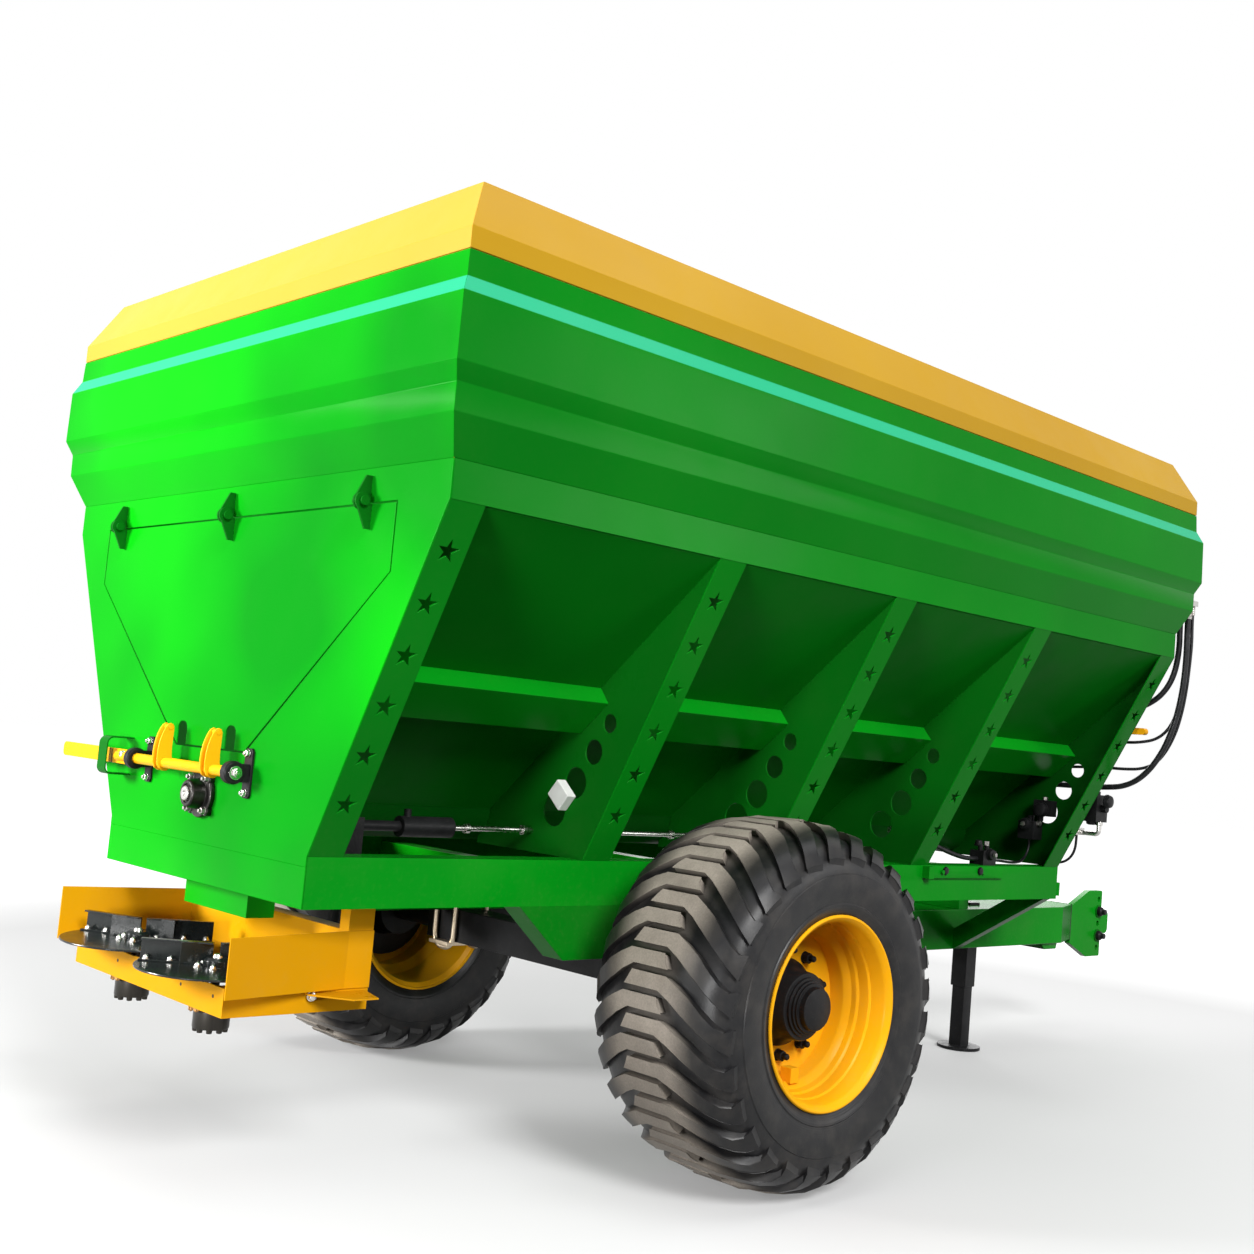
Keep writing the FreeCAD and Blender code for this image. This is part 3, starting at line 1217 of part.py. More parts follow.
def make_hoses():
    """Hoses ahead of the front panel and along the right rail, with the unions at their ends."""
    outer, inner, upper, lower, valve = [[V(x, hose_plane + ahead, z) for x, ahead, z in route] for route in
                                         (outer_route, inner_route, upper_route, lower_route, valve_route)]
    rail_start = rib_starts[3] + rib_sheet + 54
    rail = route_points(rail_route, (rail_start, rail_valve_from))
    valve_y = body_length - hopper_sheet - web_valve_depth / 2
    link = route_points(link_route, (rail_valve_to, valve_y - 66))
    link += [V(x, valve_y + ahead, z) for x, ahead, z in link_bend]
    hoses = {"front_hose_outer": (outer, thick_hose), "front_hose_inner": (inner, thick_hose),
             "front_hose_upper": (upper, thin_hose), "front_hose_lower": (lower, thin_hose),
             "rail_hose": (rail, flank_hose), "rail_hose_link": (link, small_hose),
             "valve_hose": (valve, small_hose)}
    for node, (route, radius) in hoses.items():
        save(node, [tube_along(route, radius)])
    tops = [route[0] for route in (outer, inner, upper, lower)]
    top_block = box(min(p.x for p in tops) - 18, max(p.x for p in tops) + 18,
                    body_length + upper_folds[2][1], max(p.y for p in tops) + 14, hose_top, hose_top + 24)
    low, high = outer[-1], lower[-1]
    manifold = box(manifold_side - manifold_width, manifold_side, body_length, low.y + 26,
                   low.z - 34, high.z + 34)
    reach = V(nipple_length, 0, 0)
    nipples = [rod(thick_hose + 3, low - reach, low), rod(thin_hose + 4, high - reach, high)]
    # steel elbow from the front valve to a block from which the small hose hangs
    foot = front_valve_height - valve_half
    turn = V(flange_line(front_valve_height) - 8, hose_plane, foot - elbow_drop)
    start, end = valve[0], valve[-1]
    block_side = start.x + 25
    block = box(start.x - 25, block_side, body_length, hose_plane + 14, start.z, start.z + 34)
    nut = rod(elbow_radius + 5, V(turn.x, hose_plane, foot - 16), V(turn.x, hose_plane, foot))
    elbow = tube_along([V(turn.x, hose_plane, foot - 16), turn, V(block_side - 4, hose_plane, turn.z)],
                       elbow_radius)
    rib_web = rib_starts[3] + rib_sheet
    save("hose_unions", [top_block, fused([manifold, *nipples]), hose_union(inner[-1], 16, thick_hose),
                         hose_union(upper[-1], 12, thin_hose), fused([block, nut, elbow]),
                         hose_union(end, 12, small_hose + 2),
                         rod(flank_hose + 5, V(rail[0].x, rib_web, rail[0].z), rail[0])])


def make_sensor_box():
    """Grey box set aslant on the web of the second rib."""
    web = rib_starts[1]
    case = box(-40, 40, web - 38, web, -34, 34)
    case.rotate(V(0, 0, 0), V(0, 1, 0), 40)
    case.translate(V(sensor_side, 0, sensor_height))
    save("sensor_box", [case])


os.makedirs("parts", exist_ok=True)
make_upper_body()
make_side_beams()
make_slope_plates()
make_trough()
make_rear_panel()
make_front_panel()
make_ribs()
make_stringers()
make_door_hinges()
make_door()
make_latch()
make_latch_blocks()
make_lever_guide()
make_auger()
make_bearings()
make_auger_drive()
make_crossmembers()
make_axle()
make_drawbar()
make_braces()
make_hitch()
make_jack()
tyre = make_tyre()
save("tyre_right", [tyre])
save("tyre_left", [mirrored(tyre)])
for side, name in ((1, "right"), (-1, "left")):
    make_wheel(side, name)
    make_disc(side, name)
make_spinner_frame()
make_guards()
make_motors()
make_chute()
make_flank_rod()
make_hydraulics()
make_hoses()
make_sensor_box()
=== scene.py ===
import bpy
import bmesh
import json
import math
from mathutils import Matrix, Vector


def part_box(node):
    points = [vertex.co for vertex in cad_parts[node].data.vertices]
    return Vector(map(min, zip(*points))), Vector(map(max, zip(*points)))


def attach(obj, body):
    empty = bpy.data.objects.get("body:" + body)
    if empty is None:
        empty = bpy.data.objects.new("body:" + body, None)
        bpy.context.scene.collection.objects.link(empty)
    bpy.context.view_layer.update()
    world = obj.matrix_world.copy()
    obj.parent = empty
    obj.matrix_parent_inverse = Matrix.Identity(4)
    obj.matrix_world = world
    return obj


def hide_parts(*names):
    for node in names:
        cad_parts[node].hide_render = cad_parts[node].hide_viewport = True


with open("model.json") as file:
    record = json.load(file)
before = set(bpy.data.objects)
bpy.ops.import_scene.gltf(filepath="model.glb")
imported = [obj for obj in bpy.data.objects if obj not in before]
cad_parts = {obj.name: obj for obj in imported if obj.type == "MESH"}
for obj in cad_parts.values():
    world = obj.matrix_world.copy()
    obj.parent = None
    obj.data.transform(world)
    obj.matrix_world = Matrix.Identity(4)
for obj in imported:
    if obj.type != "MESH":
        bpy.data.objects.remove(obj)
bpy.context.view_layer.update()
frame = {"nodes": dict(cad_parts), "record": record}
nodes = frame["nodes"]
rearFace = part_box("rear_panel")[0].y


def place(x, fromRear, z):
    # metres, with y counted from the hopper's rear face
    return Vector((x, rearFace + fromRear, z))


# ---- camera

viewpoint = {"at": (4.21, -4.9025, 1.348), "lens": 42.504,
             "right": (0.68841, 0.72011, 0.08680), "down": (0.00192, 0.11787, -0.99303),
             "forward": (-0.72532, 0.68377, 0.07976)}


def makeCamera():
    data = bpy.data.cameras.new("camera")
    data.lens = viewpoint["lens"]
    data.sensor_width = 36
    data.clip_end = 200
    camera = bpy.data.objects.new("camera", data)
    right, down, forward = (Vector(viewpoint[k]).normalized() for k in ("right", "down", "forward"))
    turn = Matrix((right, -down, -forward)).transposed()
    camera.rotation_mode = "QUATERNION"
    camera.rotation_quaternion = turn.to_quaternion()
    camera.location = viewpoint["at"]
    bpy.context.scene.collection.objects.link(camera)
    bpy.context.scene.camera = camera


makeCamera()


# ---- hoses, metres; routes are counted from the hopper's rear face

hoses = {
    "outerHose": {"node": "front_hose_outer", "radius": 0.013, "length": 1.320, "points": [
        (1.128, 4.100, 2.190), (1.128, 4.100, 2.080), (1.131, 4.100, 1.950), (1.122, 4.100, 1.805),
        (1.098, 4.100, 1.672), (1.052, 4.100, 1.540), (0.975, 4.100, 1.425), (0.880, 4.100, 1.362),
        (0.765, 4.098, 1.349), (0.645, 4.092, 1.346), (0.545, 4.080, 1.344), (0.470, 4.080, 1.344)]},
    "innerHose": {"node": "front_hose_inner", "radius": 0.013, "length": 0.651, "points": [
        (1.092, 4.100, 2.190), (1.092, 4.100, 2.100), (1.096, 4.100, 1.990), (1.078, 4.100, 1.870),
        (1.028, 4.099, 1.785), (0.955, 4.093, 1.733), (0.882, 4.080, 1.708), (0.815, 4.080, 1.708)]},
    "upperHose": {"node": "front_hose_upper", "radius": 0.007, "length": 0.962, "points": [
        (1.112, 4.130, 2.190), (1.112, 4.130, 2.115), (1.116, 4.130, 2.020), (1.112, 4.130, 1.920),
        (1.105, 4.130, 1.820), (1.090, 4.130, 1.725), (1.060, 4.128, 1.640), (1.003, 4.124, 1.585),
        (0.925, 4.114, 1.566), (0.845, 4.102, 1.562), (0.760, 4.080, 1.568), (0.680, 4.080, 1.568)]},
    "lowerHose": {"node": "front_hose_lower", "radius": 0.007, "length": 1.283, "points": [
        (1.134, 4.130, 2.190), (1.134, 4.130, 2.115), (1.138, 4.130, 2.020), (1.133, 4.130, 1.920),
        (1.126, 4.130, 1.820), (1.112, 4.130, 1.720), (1.090, 4.130, 1.628), (1.055, 4.128, 1.545),
        (1.010, 4.124, 1.480), (0.945, 4.118, 1.447), (0.865, 4.108, 1.440), (0.780, 4.098, 1.441),
        (0.695, 4.090, 1.438), (0.610, 4.085, 1.432), (0.540, 4.080, 1.428), (0.470, 4.080, 1.428)]},
    "railHose": {"node": "rail_hose", "radius": 0.010, "length": 0.544, "points": [
        (0.500, 2.905, 1.098), (0.500, 2.970, 1.098), (0.512, 3.050, 1.076), (0.530, 3.140, 1.040),
        (0.543, 3.225, 1.014), (0.551, 3.310, 0.996), (0.551, 3.370, 0.990), (0.551, 3.430, 0.990)]},
    "railLink": {"node": "rail_hose_link", "radius": 0.006, "length": 0.498, "points": [
        (0.551, 3.530, 0.984), (0.551, 3.591, 0.984), (0.546, 3.657, 0.979), (0.534, 3.727, 0.974),
        (0.517, 3.796, 0.972), (0.502, 3.850, 0.973), (0.493, 3.889, 0.976), (0.4905, 3.931, 1.000),
        (0.490, 3.955, 1.042), (0.490, 3.955, 1.080)]},
    "valveHose": {"node": "valve_hose", "radius": 0.006, "length": 0.213, "points": [
        (0.655, 4.088, 1.120), (0.655, 4.088, 1.090), (0.6525, 4.088, 1.059), (0.643, 4.088, 1.0295),
        (0.624, 4.088, 1.0045), (0.598, 4.088, 0.9875), (0.568, 4.088, 0.9803), (0.539, 4.088, 0.9803)]},
}


def makeHoses(rubber):
    for name, facts in hoses.items():
        curve = bpy.data.curves.new(name, "CURVE")
        curve.dimensions = "3D"
        curve.bevel_depth = facts["radius"]
        curve.bevel_resolution = 5
        curve.resolution_u = 10
        curve.use_fill_caps = True
        spline = curve.splines.new("NURBS")
        spline.points.add(len(facts["points"]) - 1)
        for point, at in zip(spline.points, facts["points"]):
            point.co = (*place(*at), 1)
        spline.order_u = 3
        spline.use_endpoint_u = True
        hose = bpy.data.objects.new(name, curve)
        bpy.context.scene.collection.objects.link(hose)
        curve.materials.append(rubber)
        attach(hose, "chassis")
        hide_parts(facts["node"])


# ---- materials

def newMaterial(name):
    material = bpy.data.materials.new(name)
    material.use_nodes = True
    tree = material.node_tree
    shader = tree.nodes["Principled BSDF"]
    where = tree.nodes.new("ShaderNodeTexCoord")
    return material, tree, shader, where.outputs["Object"]


def addNoise(tree, vector, scale, detail=3, roughness=0.5, stretch=None):
    if stretch:
        mapping = tree.nodes.new("ShaderNodeMapping")
        mapping.inputs["Scale"].default_value = stretch
        tree.links.new(vector, mapping.inputs["Vector"])
        vector = mapping.outputs["Vector"]
    noise = tree.nodes.new("ShaderNodeTexNoise")
    noise.inputs["Scale"].default_value = scale
    noise.inputs["Detail"].default_value = detail
    noise.inputs["Roughness"].default_value = roughness
    tree.links.new(vector, noise.inputs["Vector"])
    return noise.outputs["Fac"]


def addRamp(tree, value, low, high, fromValue=0.0, toValue=1.0):
    spread = tree.nodes.new("ShaderNodeMapRange")
    for key, number in (("From Min", low), ("From Max", high), ("To Min", fromValue), ("To Max", toValue)):
        spread.inputs[key].default_value = number
    tree.links.new(value, spread.inputs["Value"])
    return spread.outputs["Result"]


def addMath(tree, operation, first, second):
    node = tree.nodes.new("ShaderNodeMath")
    node.operation = operation
    for socket, value in zip(node.inputs, (first, second)):
        if isinstance(value, (int, float)):
            socket.default_value = value
        else:
            tree.links.new(value, socket)
    return node.outputs[0]


def addMix(tree, factor, first, second):
    mix = tree.nodes.new("ShaderNodeMix")
    mix.data_type = "RGBA"
    sockets = [s for s in mix.inputs if s.type == "RGBA"]
    for socket, value in zip(sockets, (first, second)):
        if isinstance(value, (tuple, list)):
            socket.default_value = (*value, 1)
        else:
            tree.links.new(value, socket)
    tree.links.new(factor, mix.inputs["Factor"])
    return [s for s in mix.outputs if s.type == "RGBA"][0]


def addBump(tree, shader, *layers):
    # each layer is a height, its strength and its depth in metres
    normal = None
    for height, strength, depth in layers:
        bump = tree.nodes.new("ShaderNodeBump")
        bump.inputs["Strength"].default_value = strength
        bump.inputs["Distance"].default_value = depth
        tree.links.new(height, bump.inputs["Height"])
        if normal:
            tree.links.new(normal, bump.inputs["Normal"])
        normal = bump.outputs["Normal"]
    tree.links.new(normal, shader.inputs["Normal"])


def glossPaint(name, colour, deeper, roughness=0.2, wave=0.25, dust=0.05, stripe=None, shine=0.06):
    # enamel with slow colour drift, orange peel, slight waves and dust low down
    material, tree, shader, where = newMaterial(name)
    drift = addRamp(tree, addNoise(tree, where, 0.9, 2), 0.35, 0.65)
    tint = addMix(tree, drift, colour, deeper)
    split = tree.nodes.new("ShaderNodeSeparateXYZ")
    tree.links.new(where, split.inputs[0])
    if stripe:
        edge = stripe["edge"]
        over = addRamp(tree, split.outputs["Z"], stripe["foot"], stripe["foot"] + edge)
        under = addRamp(tree, split.outputs["Z"], stripe["top"] - edge, stripe["top"], 1, 0)
        tint = addMix(tree, addMath(tree, "MULTIPLY", over, under), tint, stripe["colour"])
    low = addRamp(tree, split.outputs["Z"], 0.35, 1.15, 1, 0.15)
    specks = addRamp(tree, addNoise(tree, where, 55, 5, 0.65), 0.52, 0.75)
    clouds = addRamp(tree, addNoise(tree, where, 4.5, 4), 0.45, 0.75)
    dirt = addMath(tree, "MULTIPLY", low, addMath(tree, "ADD", specks, clouds))
    dirt = addMath(tree, "MULTIPLY", dirt, dust)
    tint = addMix(tree, dirt, tint, (0.30, 0.25, 0.17))
    tree.links.new(tint, shader.inputs["Base Color"])
    gloss = addRamp(tree, addNoise(tree, where, 7, 4), 0.3, 0.7, roughness * 0.85, roughness * 1.2)
    tree.links.new(addMath(tree, "ADD", gloss, dirt), shader.inputs["Roughness"])
    shader.inputs["Specular IOR Level"].default_value = shine
    addBump(tree, shader, (addNoise(tree, where, 2.1, 1), wave, 0.012),
            (addNoise(tree, where, 420, 2), 0.06, 0.0004))
    return material


def bareMetal(name, colour, deeper, roughness, grain=(1, 1, 1), stain=0.0):
    material, tree, shader, where = newMaterial(name)
    streak = addRamp(tree, addNoise(tree, where, 90, 5, 0.6, grain), 0.3, 0.7)
    tint = addMix(tree, streak, colour, deeper)
    if stain:
        spots = addRamp(tree, addNoise(tree, where, 24, 5, 0.7), 0.5, 0.72)
        tint = addMix(tree, addMath(tree, "MULTIPLY", spots, stain), tint, (0.12, 0.055, 0.02))
    tree.links.new(tint, shader.inputs["Base Color"])
    shader.inputs["Metallic"].default_value = 1
    gloss = addRamp(tree, streak, 0, 1, roughness * 0.8, roughness * 1.25)
    tree.links.new(gloss, shader.inputs["Roughness"])
    addBump(tree, shader, (addNoise(tree, where, 260, 3, 0.6, grain), 0.2, 0.0005))
    return material


def satinBlack(name, colour, paler, roughness=0.42, dust=0.08, shine=0.2):
    material, tree, shader, where = newMaterial(name)
    tint = addMix(tree, addRamp(tree, addNoise(tree, where, 12, 4), 0.35, 0.7), colour, paler)
    specks = addMath(tree, "MULTIPLY", addRamp(tree, addNoise(tree, where, 140, 4, 0.7), 0.55, 0.75), dust)
    tint = addMix(tree, specks, tint, (0.16, 0.14, 0.11))
    tree.links.new(tint, shader.inputs["Base Color"])
    gloss = addRamp(tree, addNoise(tree, where, 30, 3), 0.3, 0.7, roughness * 0.8, roughness * 1.2)
    tree.links.new(gloss, shader.inputs["Roughness"])
    shader.inputs["Specular IOR Level"].default_value = shine
    addBump(tree, shader, (addNoise(tree, where, 300, 3), 0.15, 0.0004))
    return material


def hoseRubber():
    # black rubber cover with a dull bloom
    material, tree, shader, where = newMaterial("hoseRubber")
    cloud = addRamp(tree, addNoise(tree, where, 40, 4), 0.35, 0.7)
    tint = addMix(tree, cloud, (0.006, 0.006, 0.007), (0.016, 0.016, 0.018))
    tree.links.new(tint, shader.inputs["Base Color"])
    gloss = addRamp(tree, addNoise(tree, where, 60, 3), 0.3, 0.7, 0.32, 0.5)
    tree.links.new(gloss, shader.inputs["Roughness"])
    shader.inputs["Specular IOR Level"].default_value = 0.2
    addBump(tree, shader, (addNoise(tree, where, 500, 2), 0.2, 0.0003))
    return material


def tyreRubber(name, axle):
    # scuffed, dusty tread; clean dark side walls with fine moulded rings
    material, tree, shader, where = newMaterial(name)
    mapping = tree.nodes.new("ShaderNodeMapping")
    mapping.inputs["Location"].default_value = (-axle[0], -axle[1], -axle[2])
    tree.links.new(where, mapping.inputs["Vector"])
    split = tree.nodes.new("ShaderNodeSeparateXYZ")
    tree.links.new(mapping.outputs["Vector"], split.inputs[0])
    squareY = addMath(tree, "MULTIPLY", split.outputs["Y"], split.outputs["Y"])
    squareZ = addMath(tree, "MULTIPLY", split.outputs["Z"], split.outputs["Z"])
    reach = addMath(tree, "SQRT", addMath(tree, "ADD", squareY, squareZ), 0.0)
    across = addMath(tree, "ABSOLUTE", split.outputs["X"], 0.0)
    middle = addRamp(tree, across, 0.19, 0.10, 0.10, 1.0)
    tread = addMath(tree, "MULTIPLY", addRamp(tree, reach, 0.545, 0.570), middle)
    blotch = addRamp(tree, addNoise(tree, where, 6, 5, 0.6), 0.35, 0.65, 0.7, 1.0)
    scuff = addRamp(tree, addNoise(tree, where, 160, 4, 0.7), 0.35, 0.7, 0.75, 1.0)
    dusty = addMath(tree, "MULTIPLY", addMath(tree, "MULTIPLY", tread, blotch), scuff)
    cloud = addRamp(tree, addNoise(tree, where, 18, 4), 0.3, 0.7)
    tint = addMix(tree, cloud, (0.007, 0.007, 0.008), (0.016, 0.0155, 0.0155))
    haze = addRamp(tree, addNoise(tree, where, 9, 5, 0.65), 0.48, 0.75)
    haze = addMath(tree, "MULTIPLY", haze, 0.16)
    tint = addMix(tree, haze, tint, (0.085, 0.072, 0.06))
    tint = addMix(tree, dusty, tint, (0.36, 0.315, 0.265))
    tree.links.new(tint, shader.inputs["Base Color"])
    tree.links.new(addRamp(tree, dusty, 0, 1, 0.36, 0.52), shader.inputs["Roughness"])
    shader.inputs["Specular IOR Level"].default_value = 0.22
    rings = tree.nodes.new("ShaderNodeMath")
    rings.operation = "SINE"
    tree.links.new(addMath(tree, "MULTIPLY", reach, 900.0), rings.inputs[0])
    smooth = addRamp(tree, reach, 0.33, 0.47, 0.0, 1.0)
    ringHeight = addMath(tree, "MULTIPLY", rings.outputs[0], addRamp(tree, smooth, 0.0, 0.3, 1.0, 0.0))
    addBump(tree, shader, (ringHeight, 0.15, 0.0006), (addNoise(tree, where, 240, 4, 0.6), 0.35, 0.0007))
    return material


palette = {
    # colour and deeper shade
    "green": ((0.002, 0.19, 0.007), (0.0015, 0.155, 0.006)),
    # the end green is a brighter copy of the green, for the pieces facing rear and front: painted light
    "paintedLightEndGreen": ((0.003, 0.41, 0.004), (0.002, 0.21, 0.006)),
    "frameGreen": ((0.002, 0.26, 0.008), (0.0015, 0.21, 0.007)),
    # the inner green is a much darker copy of the green: painted shade on the front panel's rear-facing
    # side and the auger trough
    "paintedShadeGreen": ((0.0012, 0.070, 0.004), (0.001, 0.055, 0.003)),
    # the web green is a darker copy of the green: painted shade on the rib webs, front panel, door hinges,
    # lever guide, hitch washers and drawbar nose
    "paintedShadeWebGreen": ((0.0025, 0.125, 0.006), (0.002, 0.105, 0.005)),
    "turquoise": (0.02, 0.36, 0.18),
    "crown": ((0.41, 0.235, 0.010), (0.38, 0.21, 0.009)),
    # the end crown is a brighter copy of the crown, for the end panels: painted light
    "endCrown": ((0.56, 0.33, 0.035), (0.52, 0.30, 0.03)),
    "yellow": ((0.86, 0.41, 0.006), (0.80, 0.37, 0.005)),
    # the spinner yellow is a darker copy of the yellow: painted shade on the spinner frame and guards
    "paintedShadeSpinnerYellow": ((0.64, 0.295, 0.003), (0.58, 0.265, 0.0025)),
}
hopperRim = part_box("side_beams")[1].z
print("materials")
green = glossPaint("greenEnamel", *palette["green"], shine=0.03)
slopeGreen = glossPaint("slopeEnamel", *palette["green"], roughness=0.35, shine=0.015)
stripe = {"foot": hopperRim + 0.417, "top": hopperRim + 0.463, "edge": 0.002,
          "colour": palette["turquoise"]}
frameGreen = glossPaint("frameEnamel", *palette["frameGreen"], shine=0.025)
# the inner and web greens are darker copies of the green: painted shade
paintedShadeGreen = glossPaint("paintedShadeEnamel", *palette["paintedShadeGreen"], roughness=0.4, shine=0.02)
paintedShadeWebGreen = glossPaint("paintedShadeWebEnamel", *palette["paintedShadeWebGreen"], roughness=0.3, shine=0.02)
banded = glossPaint("greenEnamelBanded", *palette["green"], stripe=stripe, shine=0.03)
# brighter copies of the green and the crown for the end pieces: painted light
paintedLightEndGreen = glossPaint("paintedLightEndEnamel", *palette["paintedLightEndGreen"], wave=0.3, dust=0.02, shine=0.015)
paintedLightEndBanded = glossPaint("paintedLightEndEnamelBanded", *palette["paintedLightEndGreen"], stripe=stripe, dust=0.02, shine=0.015)
endCrown = glossPaint("paintedLightEndCrownEnamel", *palette["endCrown"], roughness=0.34, dust=0.0)
crownYellow = glossPaint("crownEnamel", *palette["crown"], roughness=0.34, dust=0.0)
yellow = glossPaint("yellowEnamel", *palette["yellow"], roughness=0.3, dust=0.06, wave=0.1)
# darker copy of the yellow: painted shade
paintedShadeSpinnerYellow = glossPaint("paintedShadeSpinnerEnamel", *palette["paintedShadeSpinnerYellow"], roughness=0.3, dust=0.04, wave=0.15,
                           shine=0.03)
black = satinBlack("blackPaint", (0.006, 0.006, 0.0065), (0.012, 0.012, 0.013), shine=0.12)
motorIron = bareMetal("motorIron", (0.045, 0.041, 0.036), (0.034, 0.031, 0.028), 0.36,
                      grain=(1, 1, 0.08))
castIron = bareMetal("castIron", (0.045, 0.042, 0.040), (0.022, 0.021, 0.020), 0.36)
discPaint = satinBlack("discPaint", (0.005, 0.007, 0.007), (0.009, 0.012, 0.011), 0.2, 0.04, 0.3)
brass = bareMetal("fittingBrass", (0.55, 0.30, 0.10), (0.30, 0.14, 0.05), 0.35)
steel = bareMetal("platedSteel", (0.62, 0.61, 0.58), (0.48, 0.47, 0.45), 0.25)
wornSteel = bareMetal("wornSteel", (0.36, 0.35, 0.33), (0.22, 0.21, 0.20), 0.42, stain=0.5)
zinc = bareMetal("clampZinc", (0.66, 0.56, 0.42), (0.52, 0.42, 0.30), 0.36)
rubber = hoseRubber()
plastic = satinBlack("sensorPlastic", (0.70, 0.70, 0.68), (0.60, 0.60, 0.58), 0.45, 0.06)

print("hoses")
makeHoses(rubber)


# ---- mesh helpers

def finishPiece(bm, name, material, body, replaced=(), bevel=0.0, smooth=35):
    bmesh.ops.recalc_face_normals(bm, faces=bm.faces)
    mesh = bpy.data.meshes.new(name)
    for face in bm.faces:
        face.smooth = True
    bm.to_mesh(mesh)
    bm.free()
    mesh.set_sharp_from_angle(angle=math.radians(smooth))
    mesh.materials.append(material)
    piece = bpy.data.objects.new(name, mesh)
    bpy.context.scene.collection.objects.link(piece)
    if bevel:
        edge = piece.modifiers.new("edges", "BEVEL")
        edge.width = bevel
        edge.segments = 2
        edge.limit_method = "ANGLE"
        edge.angle_limit = math.radians(smooth)
        edge.harden_normals = True
    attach(piece, body)
    if replaced:
        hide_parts(*replaced)
    return piece


def turnTo(direction):
    # matrix that turns +Z to a direction
    return Vector(direction).to_track_quat("Z", "Y").to_matrix().to_4x4()


def addRod(bm, start, end, radius, endRadius=None, sides=24):
    start, end = Vector(start), Vector(end)
    length = (end - start).length
    matrix = Matrix.Translation((start + end) / 2) @ turnTo(end - start)
    if endRadius is None:
        endRadius = radius
    return bmesh.ops.create_cone(bm, cap_ends=True, segments=sides, radius1=radius, radius2=endRadius,
                                 depth=length, matrix=matrix)["verts"]


def addBox(bm, low, high):
    low, high = Vector(low), Vector(high)
    matrix = Matrix.Translation((low + high) / 2) @ Matrix.Diagonal((*(high - low), 1))
    bmesh.ops.create_cube(bm, size=1, matrix=matrix)


def addHex(bm, at, direction, across, height, washer=0.0):
    # hexagon head with rounded corners, on a washer where one is asked for
    at, direction = Vector(at), Vector(direction).normalized()
    if washer:
        seat = at + direction * 0.003
        addRod(bm, at, seat, washer, sides=20)
        at = seat
    verts = addRod(bm, at, at + direction * height, across / math.sqrt(3), sides=6)
    crown = [e for e in {e for v in verts for e in v.link_edges}
             if all((v.co - at).dot(direction) > height * 0.9 for v in e.verts)]
    bmesh.ops.bevel(bm, geom=crown, offset=across * 0.08, segments=2, affect="EDGES", profile=0.5,
                    material=-1)


def addTurned(bm, profile, centre, axis, sides=64, closed=False):
    # profile is (distance along the axis, radius); full turn about the axis through the centre
    axis, centre = Vector(axis).normalized(), Vector(centre)
    across = axis.orthogonal().normalized()
    made = [bm.verts.new(centre + axis * along + across * radius) for along, radius in profile]
    edges = [bm.edges.new(pair) for pair in zip(made, made[1:])]
    if closed:
        edges.append(bm.edges.new((made[-1], made[0])))
    bmesh.ops.spin(bm, geom=made + edges, cent=centre, axis=axis, dvec=(0, 0, 0), angle=2 * math.pi,
                   steps=sides, use_merge=True, use_duplicate=False)
    bmesh.ops.remove_doubles(bm, verts=bm.verts, dist=1e-6)


def addPlate(bm, points, thickness):
    # flat plate through the points, pushed out by the thickness vector
    face = bm.faces.new([bm.verts.new(Vector(p)) for p in points])
    pushed = bmesh.ops.extrude_face_region(bm, geom=[face])
    verts = [g for g in pushed["geom"] if isinstance(g, bmesh.types.BMVert)]
    bmesh.ops.translate(bm, verts=verts, vec=Vector(thickness))


# ---- CAD pieces whose shape stays, with rolled edges and their finish

bodies = frame["record"]["behaviour"]["bodies"]
bodyOf = {node: body for body, members in bodies.items() for node in members}


def dressNode(node, material, bevel, smooth=32):
    bm = bmesh.new()
    bm.from_mesh(nodes[node].data)
    bmesh.ops.remove_doubles(bm, verts=bm.verts, dist=2e-5)
    bmesh.ops.dissolve_limit(bm, angle_limit=math.radians(0.5), verts=bm.verts, edges=bm.edges)
    name = "".join(part.capitalize() for part in node.split("_"))
    piece = finishPiece(bm, "dressed" + name, material, bodyOf[node], [node], bevel, smooth)
    if bevel:
        piece.modifiers["edges"].use_clamp_overlap = True
    return piece


